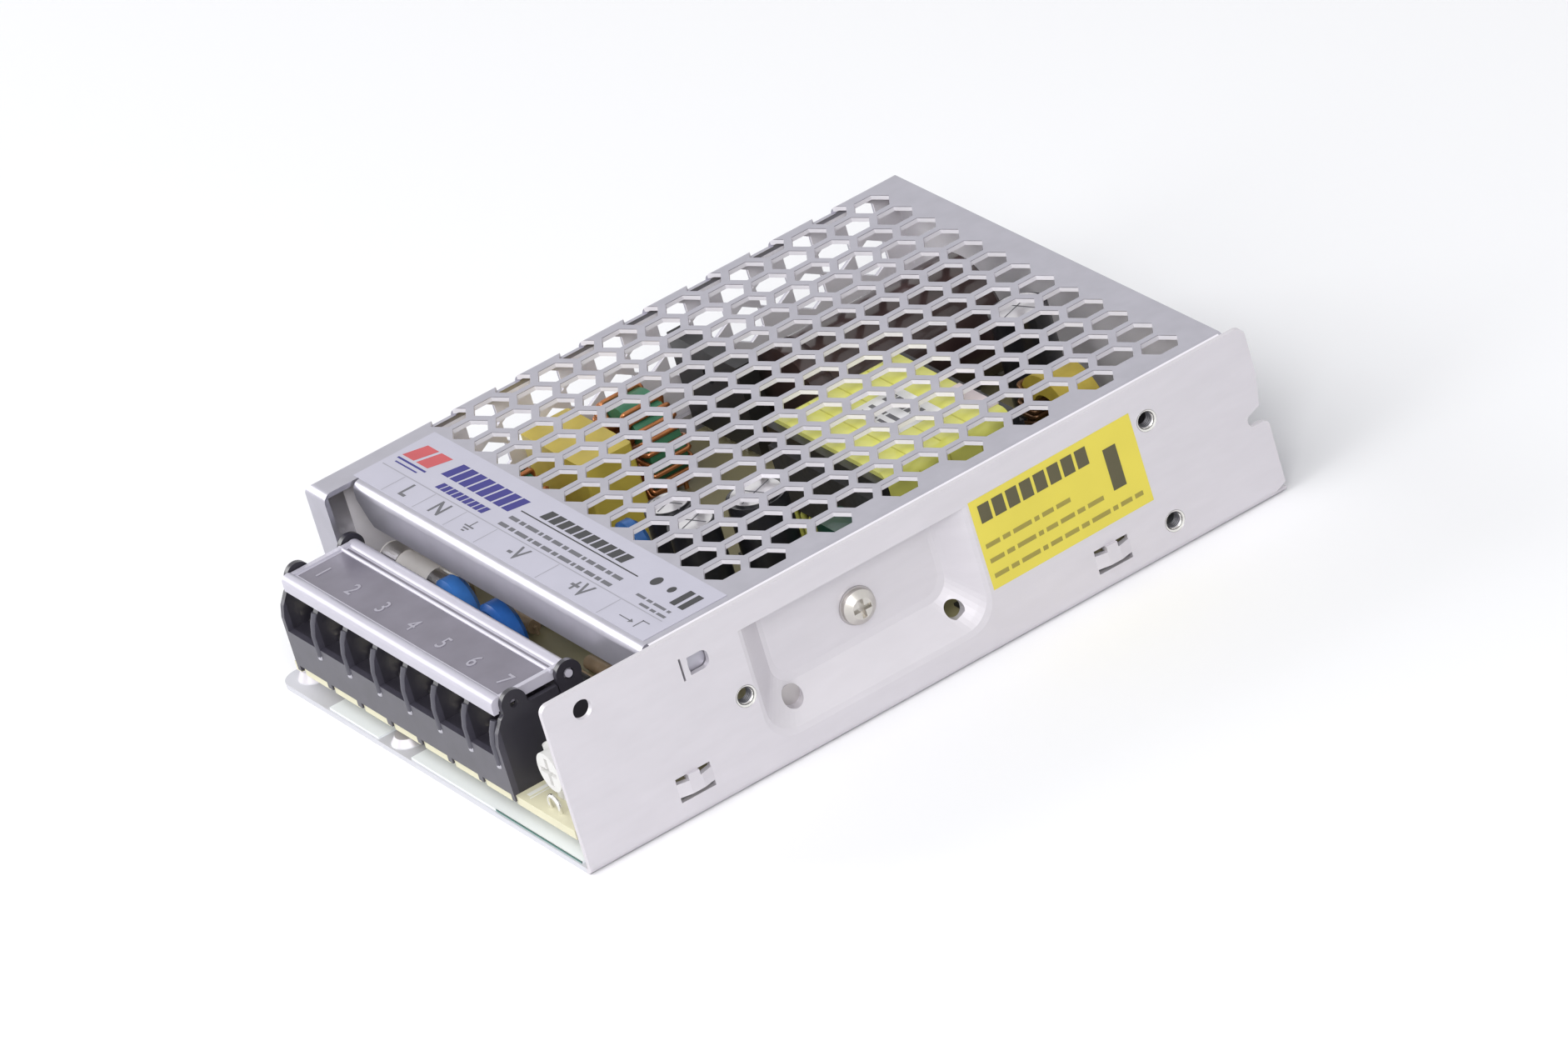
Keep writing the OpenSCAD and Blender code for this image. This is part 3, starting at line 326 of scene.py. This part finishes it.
# components
legs = [(("Z", "LESS_THAN", boardTop + 1.2 * mm),)]
blueLacquer = zonedFinish("blueLacquer", (0.05, 0.19, 0.56), legs, rough=(0.2, 0.3))
darkBlueLacquer = zonedFinish("darkBlueLacquer", (0.03, 0.13, 0.45), legs, rough=(0.2, 0.3))
yellowBox = finish("yellowBox", (0.66, 0.52, 0.09), 0.35, 0, 0.06, 200)
greenCore = finish("greenCore", (0.05, 0.22, 0.12), 0.4, 0, 0.1, 400, bump=0.1)
mustardCore = finish("mustardCore", (0.55, 0.42, 0.06), 0.45, 0, 0.1, 400, bump=0.1)
copperWire = finish("copperWire", (0.55, 0.22, 0.09), 0.28, 0.7, 0.1, 300)
brownWire = finish("brownWire", (0.16, 0.08, 0.035), 0.3, 0.6, 0.1, 300)
ferrite = finish("ferrite", (0.028, 0.027, 0.029), 0.6, 0, 0.25, 900, bump=0.2)
yellowTape = finish("yellowTape", (0.70, 0.70, 0.16), 0.3, 0, 0.06, 120, (1, 1, 4), coat=0.3)
tapeShade = finish("tapeShade", (0.52, 0.50, 0.09), 0.35)
pinkTape = finish("pinkTape", (0.66, 0.58, 0.60), 0.45, 0, 0.05, 200)
paperWhite = finish("paperWhite", (0.74, 0.74, 0.76), 0.6, 0, 0.03, 300)
brownSleeve = finish("brownSleeve", (0.045, 0.026, 0.025), 0.3, 0, 0.2, 200, coat=0.4)
blackSleeve = finish("blackSleeve", (0.02, 0.02, 0.024), 0.3, 0, 0.2, 200, coat=0.4)
canTop = finish("canTop", (0.74, 0.73, 0.74), 0.3, 0.8, 0.03, 300)
greenLacquer = finish("greenLacquer", (0.015, 0.075, 0.05), 0.3, 0, 0.15, 200, bump=0.2, coat=0.4)
pinkPad = finish("pinkPad", (0.70, 0.55, 0.52), 0.6)
ceramicTube = finish("ceramicTube", (0.94, 0.90, 0.88), 0.35)
# painted shade: the resistors in the row nearest the block are painted black
shadedResistorRow = (("Y", "LESS_THAN", blockBack + 8 * mm),)
resistorCoat = zonedFinish("resistorCoat", (0.48, 0.35, 0.22), [shadedResistorRow], (0.03, 0.03, 0.034), (0.4, 0.4),
                           300, (0.0, 0.0))
deviceBlack = zonedFinish("deviceBlack", (0.02, 0.02, 0.022),
                          [(("X", "GREATER_THAN", tabLow - 1.15 * mm),), (("Z", "LESS_THAN", legTop),)])
chipBlack = zonedFinish("chipBlack", (0.02, 0.02, 0.022), legRows(chipMiddle))
optoBlack = zonedFinish("optoBlack", (0.02, 0.02, 0.022), legRows(optoMiddle))
bridgeBlack = zonedFinish("bridgeBlack", (0.02, 0.02, 0.022), [(("Z", "LESS_THAN", boardTop + 2.4 * mm),)])

# label stock and inks
labelFilm = finish("labelFilm", (0.47, 0.46, 0.54), 0.42, 0, 0.02, 200)
labelYellow = finish("labelYellow", (0.68, 0.58, 0.07), 0.42, 0, 0.03, 90)
inkBlue = finish("inkBlue", (0.022, 0.018, 0.18), 0.55)
inkRed = finish("inkRed", (0.50, 0.08, 0.09), 0.55)
inkBlack = finish("inkBlack", (0.025, 0.025, 0.028), 0.55)
inkGrey = finish("inkGrey", (0.12, 0.12, 0.135), 0.55)
inkPale = finish("inkPale", (0.33, 0.325, 0.37), 0.55)
inkBrown = finish("inkBrown", (0.085, 0.075, 0.035), 0.55)
inkOlive = finish("inkOlive", (0.30, 0.25, 0.045), 0.55)

nodeFinishes = {
    "chassis": brushedAluminium, "mesh_cover": galvanisedSteel, "cover_screws": brightPlate,
    "insulation_film": filmBlue, "circuit_board": laminate, "board_screws": brightPlate,
    "terminal_block": blackMoulding, "terminal_contacts": brightPlate, "terminal_washers": tinnedBrass,
    "terminal_screws": brightPlate, "terminal_lid": lidClear, "trimmer_body": whiteMoulding,
    "trimmer_rotor": whiteMoulding, "status_led": ledGreen, "fuse_clips": brightPlate, "fuse": ceramicTube,
    "varistor": blueLacquer, "thermistor": darkBlueLacquer, "y_capacitors": blueLacquer,
    "film_capacitor": yellowBox, "input_choke_core": greenCore, "input_choke_winding": copperWire,
    "line_choke_core": greenCore, "line_choke_windings": copperWire, "bridge_rectifier": bridgeBlack,
    "bulk_capacitor": brownSleeve, "transformer_core": ferrite, "transformer_bobbin": bobbinBlack,
    "transformer_wrap": yellowTape, "snubber_capacitor": greenLacquer, "output_capacitors": blackSleeve,
    "output_choke_core": mustardCore, "output_choke_winding": brownWire, "power_transistor": deviceBlack,
    "output_rectifier": deviceBlack, "insulating_pads": pinkPad, "clamp_bar": brightPlate,
    "clamp_screw": screwPlate, "clamp_nut": brightPlate, "controller_chip": chipBlack,
    "optocoupler": optoBlack, "resistors": resistorCoat, "jumper_wires": brightPlate,
    "rating_label": labelFilm, "side_label": labelYellow,
}
for nodeName, coat in nodeFinishes.items():
    for slot in nodes[nodeName].material_slots:
        slot.material = coat
print("finishes on", len(nodeFinishes), "nodes")


def wordBlocks(u, v, width, height, slant, count):
    # one row of plain slanted blocks
    step = width / count
    return [[(u + k * step, v), (u + (k + 0.8) * step, v), (u + (k + 0.8) * step + slant, v + height),
             (u + k * step + slant, v + height)] for k in range(count)]


def dashRow(u, v, end, height):
    # dashes of uneven length, one row
    widths = (2.6, 1.4, 3.4, 0.9, 2.1)
    shapes = []
    k = 0
    while u < end - 1:
        wide = min(widths[k % len(widths)], end - u)
        shapes.append([(u, v), (u + wide, v), (u + wide, v + height * 0.6), (u, v + height * 0.6)])
        u += wide + 0.55
        k += 1
    return shapes


def dashRows(rows):
    return [shape for row in rows for shape in dashRow(*row)]


def roundMark(u, v, r, steps=20):
    angles = [2 * math.pi * k / steps for k in range(steps)]
    return [(u + r * math.cos(a), v + r * math.sin(a)) for a in angles]


def bar(u0, v0, u1, v1):
    return [(u0, v0), (u1, v0), (u1, v1), (u0, v1)]


def addPrint(name, shapes, place, mat, body="case"):
    bm = bmesh.new()
    for shape in shapes:
        bm.faces.new([bm.verts.new(place @ Vector((u * mm, v * mm, 0))) for u, v in shape])
    addPiece(name, bm, mat, body)


def addText(name, words, place, mat, body="case", extrude=0.0, bold=0.0):
    bm = bmesh.new()
    for letters, u, v, size in words:
        curve = bpy.data.curves.new("letters", "FONT")
        curve.body = letters
        curve.size = size * mm * 1.38
        curve.align_x = "CENTER"
        curve.align_y = "CENTER"
        curve.resolution_u = 3
        curve.extrude = extrude
        curve.offset = bold
        takeCurve(bm, curve, place @ Matrix.Translation((u * mm, v * mm, 0)))
    addPiece(name, bm, mat, body)


# print: each label's own axes, in millimetres from its lower left corner
ratingPrint = {
    "redFields": [[(1.6, 8.2), (5.2, 8.2), (6.6, 12.2), (3, 12.2)],
                  [(6, 8.2), (9.6, 8.2), (11, 12.2), (7.4, 12.2)]],
    "blueBars": [bar(1.6, 7.2, 10.4, 7.6), bar(2.4, 6.3, 9.2, 6.6)],
    "headRow": (13.2, 8.6, 21.5, 3.8, 0.9, 8), "subRow": (16, 5.8, 15, 1.6, 0.4, 9),
    "typeRow": (40.4, 10.7, 25.5, 2.2, 0.5, 10),
    "bold": [bar(83, 8.6, 84.6, 12.6), bar(85.4, 8.6, 87, 12.6)],
    "blackRule": bar(36, 9.9, 71.5, 10.15), "paleRule": bar(1, 4.8, 87, 5),
    "dividers": [8.5, 18.2, 28, 37.5, 56.5, 75],
    "smallRows": [(36, 7.6, 70, 1.3), (36, 5.6, 70, 1.3), (76, 6.8, 86.5, 0.9), (79, 5.5, 86.5, 0.9)],
    "letters": [("L", 13, 2.5, 3.2), ("N", 23, 2.5, 3.2), ("-V", 47, 2.5, 3.2), ("+V", 66, 2.5, 3.2)],
    "marks": [(75.5, 11, 1.1), (80, 11, 0.8)],
    "earthSign": [bar(32.4, 2.6, 32.7, 4.1), bar(31.2, 2.3, 33.9, 2.6), bar(31.7, 1.7, 33.4, 2),
                  bar(32.1, 1.1, 33, 1.4)],
    "arrow": [bar(79, 2, 82, 2.2), [(82, 1.6), (83, 2.1), (82, 2.6)]],
    "corner": [bar(84, 1.4, 84.3, 3.4), bar(84, 3.2, 86, 3.4)],
}
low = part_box("rating_label")[0]
labelPlane = Matrix.Translation((low.x, low.y, labelTop + 0.015 * mm))
addPrint("label_red_fields", ratingPrint["redFields"], labelPlane, inkRed)
addPrint("label_blue_fields", wordBlocks(*ratingPrint["headRow"]) + wordBlocks(*ratingPrint["subRow"])
         + ratingPrint["blueBars"], labelPlane, inkBlue)
addPrint("label_black_fields", wordBlocks(*ratingPrint["typeRow"]) + ratingPrint["bold"]
         + [ratingPrint["blackRule"]] + [roundMark(*m) for m in ratingPrint["marks"]], labelPlane, inkBlack)
addPrint("label_pale_rules", [ratingPrint["paleRule"]]
         + [bar(u, 0.2, u + 0.2, 4.7) for u in ratingPrint["dividers"]], labelPlane, inkPale)
addPrint("label_grey_rows", dashRows(ratingPrint["smallRows"]) + ratingPrint["earthSign"]
         + ratingPrint["arrow"] + ratingPrint["corner"], labelPlane, inkGrey)
addText("label_letters", ratingPrint["letters"], labelPlane, inkGrey, bold=0.09 * mm)

sidePrint = {"headRow": (1.3, 11.1, 20.6, 3.1, 0, 8), "block": bar(24, 4.8, 26.4, 12),
             "smallRows": [(0.8, 6.9, 16.9, 1.3), (0.8, 4.3, 22, 1.3), (0.8, 1.7, 28.6, 1.3)]}
tilt = math.radians(0.8)
sideMiddle = middle("side_label")
sidePlane = (Matrix.Translation((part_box("side_label")[1].x + 0.02 * mm, sideMiddle.y, sideMiddle.z))
             @ Matrix(((0, 0, 1, 0), (1, 0, 0, 0), (0, 1, 0, 0), (0, 0, 0, 1)))
             @ Matrix.Rotation(tilt, 4, "Z") @ Matrix.Translation((-15 * mm, -7.7 * mm, 0)))
addPrint("side_label_fields", wordBlocks(*sidePrint["headRow"]) + [sidePrint["block"]], sidePlane, inkBrown)
addPrint("side_label_rows", dashRows(sidePrint["smallRows"]), sidePlane, inkOlive)

lidPrint = {"fromFront": 5.2, "size": 2.9, "sunk": 0.5}
lidPlane = Matrix.Translation((0, 0, lidHigh.z - (lidPrint["sunk"] - 0.05) * mm))
numberLine = lidLow.y / mm + lidPrint["fromFront"]
lidNumbers = [(str(k + 1), (lo.x + hi.x) / 2 / mm, numberLine, lidPrint["size"])
              for k, (lo, hi) in enumerate(bays)]
addText("lid_numbers", lidNumbers, lidPlane, numberWhite, "lid", 0.04 * mm)
print("labels printed,", len(bays), "terminals")

# a thin ridge on the lid, before the hinge, painted pale as a painted highlight
lidRidge = {"radius": 0.32, "fromHinge": 3.6, "rise": 0.35, "over": 1.6}
panelTop = lidHigh.z - lidPrint["sunk"] * mm
left, right = bays[0][0].x - lidRidge["over"] * mm, bays[-1][1].x + lidRidge["over"] * mm
y = lidHigh.y - lidRidge["fromHinge"] * mm
z = panelTop + lidRidge["rise"] * mm - lidRidge["radius"] * mm
bm = bmesh.new()
addWires(bm, [[Vector((left, y, z)), Vector((right, y, z))]], lidRidge["radius"] * mm)
addPiece("lid_ridges", bm, lidRimHighlight, "lid", smooth=True)

# rounded noses down the front of the barriers, each with a small pale round bead at its lower end, a painted
# highlight
barriers = {"radius": 0.62, "backs": (0.25, 0.25, 0.7, 1.4), "heights": (4.95, 8.6, 10.6, 12.1),
            "foot": 0.7, "footBack": 0.07, "footDrop": 0.15, "lastInward": 0.9}
pitch = (bays[-1][0].x - bays[0][0].x) / (len(bays) - 1)
noses, glints = bmesh.new(), bmesh.new()
for lo, hi in bays:
    x = (lo.x + hi.x) / 2 + pitch / 2
    if lo is bays[-1][0]:
        x -= barriers["lastInward"] * mm  # the last one stands against the end plate
    path = [Vector((x, blockFront + back * mm, boardTop + up * mm))
            for back, up in zip(barriers["backs"], barriers["heights"])]
    addWires(noses, [path], barriers["radius"] * mm)
    foot = path[0] + Vector((0, barriers["footBack"] * mm, -barriers["footDrop"] * mm))
    bmesh.ops.create_icosphere(glints, subdivisions=2, radius=barriers["foot"] * mm,
                               matrix=Matrix.Translation(foot))
addPiece("barrier_noses", noses, noseBlack, smooth=True)
addPiece("barrier_glints", glints, glintGrey, smooth=True)

# wire wound on the three cores, in place of the plain CAD windings; spans in degrees
chokes = [
    {"core": "input_choke_core", "winding": "input_choke_winding", "inner": 0.55, "spans": [(-75, 235)],
     "wire": copperWire},
    {"core": "line_choke_core", "winding": "line_choke_windings", "inner": 0.6,
     "spans": [(-66, 66), (114, 246)], "wire": copperWire},
    {"core": "output_choke_core", "winding": "output_choke_winding", "inner": 0.58, "spans": [(-215, 5)],
     "wire": brownWire},
]
wire = {"radius": 0.42 * mm, "gap": 0.06 * mm, "corner": 0.55 * mm}


def windingLoop(centre, inner, outer, half, angle):
    # one turn: a rounded rectangle round the core's section
    grow = wire["radius"] + wire["gap"]
    r = wire["corner"]
    r0, r1, y = inner - grow, outer + grow, half + grow
    out = Vector((math.cos(angle), 0, math.sin(angle)))
    corners = ((r1 - r, y - r, 0), (r0 + r, y - r, 90), (r0 + r, r - y, 180), (r1 - r, r - y, 270))
    path = []
    for cr, cy, start in corners:
        for k in range(4):
            a = math.radians(start + 30 * k)
            path.append(centre + out * (cr + r * math.cos(a)) + Vector((0, cy + r * math.sin(a), 0)))
    return path


for choke in chokes:
    low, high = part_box(choke["core"])
    centre = (low + high) / 2
    outer, half = (high.x - low.x) / 2, (high.y - low.y) / 2
    inner = outer * choke["inner"]
    bm = bmesh.new()
    for start, end in choke["spans"]:
        arc = math.radians(end - start) * (inner - wire["radius"])
        turns = int(arc / (2.25 * wire["radius"])) + 1
        step = (end - start) / (turns - 1)
        angles = [math.radians(start + step * k) for k in range(turns)]
        loops = [windingLoop(centre, inner, outer, half, angle) for angle in angles]
        addWires(bm, loops, wire["radius"], closed=True)
        for a, side in ((math.radians(start), -1), (math.radians(end), 1)):
            out = Vector((math.cos(a), 0, math.sin(a))) * (outer + wire["radius"])
            top = centre + out + Vector((0, side * (half + 0.1 * mm), 0))
            addWires(bm, [[top, Vector((top.x, top.y, boardTop))]], wire["radius"])
    turned = addPiece(choke["winding"] + "_turns", bm, choke["wire"], smooth=True)
    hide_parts(choke["winding"])
print("chokes wound")

# transformer: tape edges, a paper label, a loose tape end and sleeved leads
wrapLow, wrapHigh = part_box("transformer_wrap")
transformer = {
    "paper": (10.6 * mm, 8 * mm, 24 * mm, 17 * mm), "paperHead": (1.4, 5.2, 9.5, 2.2, 0.3, 6),
    "paperRows": [(1.4, 2.6, 12, 1.4), (1.4, 1, 9, 1)],
    "tail": (19 * mm, 20.4 * mm, 30.5 * mm), "tailOver": 0.3 * mm,
    "tapeEdges": 3, "tapeStep": 5.6 * mm, "tapeWide": 0.25 * mm, "leads": 5, "leadRadius": 0.55 * mm,
}
sunkTop = wrapHigh.z - 0.02 * mm
bm = bmesh.new()
u0, v0, u1, v1 = transformer["paper"]
addBlock(bm, (wrapLow.x + u0, wrapLow.y + v0, sunkTop),
         (wrapLow.x + u1, wrapLow.y + v1, wrapHigh.z + 0.06 * mm))
addPiece("transformer_paper", bm, paperWhite)
paperPlane = Matrix.Translation((wrapLow.x + u0, wrapLow.y + v0, wrapHigh.z + 0.08 * mm))
addPrint("transformer_paper_rows", wordBlocks(*transformer["paperHead"]) + dashRows(transformer["paperRows"]),
         paperPlane, inkGrey)
bm = bmesh.new()
u0, v0, u1 = transformer["tail"]
addBlock(bm, (wrapLow.x + u0, wrapLow.y + v0, sunkTop),
         (wrapLow.x + u1, wrapHigh.y + transformer["tailOver"], wrapHigh.z + 0.05 * mm))
addPiece("transformer_tape_end", bm, pinkTape)
bm = bmesh.new()
for k in range(1, transformer["tapeEdges"] + 1):
    y0 = wrapLow.y + k * transformer["tapeStep"]
    y1 = y0 + transformer["tapeWide"]
    addBlock(bm, (wrapLow.x + 1.8 * mm, y0, sunkTop), (wrapHigh.x - 1.8 * mm, y1, wrapHigh.z + 0.03 * mm))
    addBlock(bm, (wrapHigh.x - 0.02 * mm, y0, wrapLow.z + 2 * mm),
             (wrapHigh.x + 0.03 * mm, y1, wrapHigh.z - 1.8 * mm))
addPiece("transformer_tape_edges", bm, tapeShade)
bm = bmesh.new()
leads = []
for k in range(transformer["leads"]):  # they leave the bobbin's front
    x = wrapLow.x + (3 + 2.4 * k) * mm
    y = wrapLow.y - 2 * mm
    leads.append([Vector((x, y + 1.2 * mm, wrapLow.z + 4 * mm)), Vector((x, y, wrapLow.z + 2 * mm)),
                  Vector((x, y, boardTop))])
addWires(bm, leads, transformer["leadRadius"])
addPiece("transformer_leads", bm, yellowTape, smooth=True)

# metal tops of the cans, with scored crosses
cans = {"rim": 0.75 * mm, "sunk": 0.2 * mm, "scoreFrom": 0.4, "scoreEnd": 1.2 * mm, "scoreHalf": 0.12 * mm}
tops, scores = bmesh.new(), bmesh.new()
for lo, hi in solidBoxes("output_capacitors"):
    radius = (hi.x - lo.x) / 2
    centre = Vector(((lo.x + hi.x) / 2, (lo.y + hi.y) / 2, hi.z))
    addSpun(tops, centre, (0, 0, 1), [(0, 0.02 * mm), (radius - cans["rim"], 0.02 * mm),
                                      (radius - cans["rim"] + 0.05 * mm, -cans["sunk"]), (0, -cans["sunk"])])
    for a in (cans["scoreFrom"], cans["scoreFrom"] + math.pi / 2):
        step = Vector((math.cos(a), math.sin(a), 0)) * (radius - cans["scoreEnd"])
        across = Vector((-math.sin(a), math.cos(a), 0)) * cans["scoreHalf"]
        lifted = centre + Vector((0, 0, 0.04 * mm))
        corners = (step + across, step - across, -step - across, -step + across)
        scores.faces.new([scores.verts.new(lifted + corner) for corner in corners])
addPiece("can_tops", tops, canTop)
addPiece("can_scores", scores, inkGrey)

# fuse caps over the tube's ends
bm = bmesh.new()
low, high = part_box("fuse")
centre = (low + high) / 2
end = high.x - centre.x
reach = (high.z - low.z) / 2
for side in (-1, 1):
    addSpun(bm, centre, (side, 0, 0), [(0, end), (reach - 0.4 * mm, end), (reach + 0.02 * mm, end - 0.4 * mm),
                                       (reach + 0.02 * mm, end - 5 * mm), (reach - 0.3 * mm, end - 5 * mm),
                                       (reach - 0.3 * mm, end - 0.2 * mm), (0, end - 0.2 * mm)])
addPiece("fuse_caps", bm, brightPlate)

# rings for threads in the tapped holes of the side wall
tappedHoles = [mount for mount in frame["record"]["mounts"] if mount["kind"] == "threaded_hole"]
thread = {"rings": 4, "pitch": 0.42 * mm, "depth": 0.16 * mm, "half": 0.15 * mm}
bm = bmesh.new()
for mount in tappedHoles:
    radius = mount["dims"]["r_mm"] * mm
    outer = radius + 0.02 * mm
    for k in range(thread["rings"]):
        h = (k - (thread["rings"] - 1) / 2) * thread["pitch"]
        addSpun(bm, Vector(mount["pos_m"]), (1, 0, 0),
                [(radius - thread["depth"], h), (outer, h - thread["half"]), (outer, h + thread["half"])],
                closed=True, steps=24)
addPiece("wall_threads", bm, holeShade)

# shaded rim round the clamp screw's head; inward is measured from the side's outermost face
clamp = {"inward": 4.55 * mm, "rim": 0.35 * mm}
bm = bmesh.new()
low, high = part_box("clamp_screw")
seat = Vector((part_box("chassis")[1].x - clamp["inward"], (low.y + high.y) / 2, (low.z + high.z) / 2))
reach = (high.y - low.y) / 2
addSpun(bm, seat, (1, 0, 0), [(reach - 0.1 * mm, 0), (reach + clamp["rim"], 0),
                              (reach + clamp["rim"] - 0.05 * mm, 0.12 * mm), (reach - 0.1 * mm, 0.2 * mm)],
        closed=True)
addPiece("clamp_rim", bm, pressedShade)

# shaded flat of the round stop in the pocket's lower front corner
stop = {"inward": 3.8 * mm, "y": -23.8 * mm, "z": 9.3 * mm, "radius": 1.72 * mm}
bm = bmesh.new()
addSpun(bm, (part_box("chassis")[1].x - stop["inward"], stop["y"], stop["z"]), (1, 0, 0),
        [(0, 0.04 * mm), (stop["radius"], 0.04 * mm), (stop["radius"], -0.05 * mm), (0, -0.05 * mm)])
addPiece("stop_flat", bm, pressedShade)

# bright lead-ins at the tapped holes
bm = bmesh.new()
for mount in tappedHoles:
    radius = mount["dims"]["r_mm"] * mm
    wallFace = Vector((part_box("side_label")[0].x, mount["pos_m"][1], mount["pos_m"][2]))
    addSpun(bm, wallFace, (1, 0, 0), [(radius + 0.02 * mm, -0.42 * mm), (radius + 0.45 * mm, 0),
                                      (radius + 0.5 * mm, 0.02 * mm), (radius + 0.04 * mm, -0.38 * mm)],
            closed=True)
addPiece("tap_rims", bm, brightPlate, smooth=True)

# solder joints, screen print and small chips on the board; lines are (x, y, width, depth) in millimetres
board = {"seed": 5, "joints": 46, "chips": 18, "margin": 3 * mm, "frontMargin": 17 * mm,
         "lines": ((29.2, -62.6, 0.9, 7), (31.6, -55, 12.5, 0.25), (30.6, -62.9, 0.25, 7),
                   (34, -54, 8, 0.25))}
rng = random.Random(board["seed"])
low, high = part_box("circuit_board")


def anyPlace():
    # a random place on the board, behind the terminal block
    x = rng.uniform(low.x + board["margin"], high.x - board["margin"])
    y = rng.uniform(low.y + board["frontMargin"], high.y - board["margin"])
    return x, y


joints, lines, chips = bmesh.new(), bmesh.new(), bmesh.new()
for k in range(board["joints"]):
    x, y = anyPlace()
    bmesh.ops.create_icosphere(joints, subdivisions=2, radius=0.6 * mm,
                               matrix=Matrix.Translation((x, y, boardTop)) @ Matrix.Diagonal((1, 1, 0.55, 1)))
for k in range(board["chips"]):
    x, y = anyPlace()
    addBlock(chips, (x, y, boardTop), (x + 1.6 * mm, y + 0.8 * mm, boardTop + 0.5 * mm), 0.08 * mm)
for x, y, w, d in board["lines"]:
    addBlock(lines, (x * mm, y * mm, boardTop), ((x + w) * mm, (y + d) * mm, boardTop + 0.03 * mm))
addPiece("board_solder", joints, solderGrey, smooth=True)
addPiece("board_chips", chips, blackMatte)
addPiece("board_lines", lines, silkWhite)

# dark cut edge of the film, at the right of the front
edgeLong = 26 * mm
low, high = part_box("insulation_film")
bm = bmesh.new()
addBlock(bm, (high.x - edgeLong, low.y - 0.02 * mm, low.z + 0.02 * mm), (high.x, low.y + 0.1 * mm, high.z))
addPiece("film_edge", bm, filmEdge)
print("inner parts dressed")

camera = {"lens": 240.9, "sensor": 36, "place": (1.3133, -0.5866, 0.7482), "azimuth": 65.79,
          "elevation": 27.14, "roll": -16.91}


def aimCamera(settings):
    data = bpy.data.cameras.new("camera")
    data.lens = settings["lens"]
    data.sensor_width = settings["sensor"]
    data.clip_start = 0.1
    data.clip_end = 20
    eye = newObject("camera", data)
    az, el, roll = (math.radians(settings[k]) for k in ("azimuth", "elevation", "roll"))
    ahead = Vector((-math.cos(el) * math.sin(az), math.cos(el) * math.cos(az), -math.sin(el)))
    level = Vector((math.cos(az), math.sin(az), 0))
    upward = level.cross(ahead)
    right = level * math.cos(roll) + upward * math.sin(roll)
    turn = Matrix((right, right.cross(ahead), -ahead)).transposed().to_4x4()
    eye.matrix_world = Matrix.Translation(settings["place"]) @ turn
    bpy.context.scene.camera = eye


aimCamera(camera)

studio = {"floorSize": 6.0, "floorColour": (0.90, 0.90, 0.91), "skyStrength": 0.5,
          "lamps": (("keyLamp", (0.25, -0.75, 1.25), 0.9, 5.6), ("sideLamp", (1.15, -0.6, 0.95), 0.6, 11.5),
                    ("leftLamp", (-1.15, -0.68, 0.52), 0.7, 8), ("frontLamp", (0.2, -1.2, 0.6), 0.6, 3.5))}


def buildStudio(settings):
    bm = bmesh.new()
    bmesh.ops.create_grid(bm, x_segments=1, y_segments=1, size=settings["floorSize"] / 2)
    bmesh.ops.translate(bm, verts=bm.verts, vec=(0, 0, -0.05 * mm))
    mesh = bpy.data.meshes.new("floor")
    bm.to_mesh(mesh)
    bm.free()
    floor = newObject("floor", mesh)
    mesh.materials.append(finish("floorPaint", settings["floorColour"], 0.9, 0, 0.0))
    world = bpy.data.worlds.new("studioSky")
    bpy.context.scene.world = world
    world.use_nodes = True
    tree = world.node_tree
    sky = tree.nodes["Background"]
    sky.inputs["Strength"].default_value = settings["skyStrength"]
    sky.inputs["Color"].default_value = (0.96, 0.97, 1, 1)
    white = addNode(tree, "ShaderNodeBackground", {"Color": (1, 1, 1, 1), "Strength": 1.0})
    path = addNode(tree, "ShaderNodeLightPath")
    blend = addNode(tree, "ShaderNodeMixShader")
    seen = path.outputs["Is Camera Ray"]
    for ray in ("Is Glossy Ray", "Is Transmission Ray"):
        either = addNode(tree, "ShaderNodeMath", operation="MAXIMUM")
        tree.links.new(seen, either.inputs[0])
        tree.links.new(path.outputs[ray], either.inputs[1])
        seen = either.outputs[0]
    tree.links.new(seen, blend.inputs["Fac"])
    tree.links.new(sky.outputs[0], blend.inputs[1])
    tree.links.new(white.outputs[0], blend.inputs[2])
    tree.links.new(blend.outputs[0], tree.nodes["World Output"].inputs["Surface"])
    for name, place, size, power in settings["lamps"]:
        data = bpy.data.lights.new(name, "AREA")
        data.size = size
        data.energy = power
        lamp = newObject(name, data)
        aim = (Vector((0, 0, 0)) - Vector(place)).to_track_quat("-Z", "Y")
        lamp.matrix_world = Matrix.Translation(place) @ aim.to_matrix().to_4x4()


buildStudio(studio)
bpy.context.scene.view_settings.view_transform = "Standard"
print("camera, floor and lamps placed")
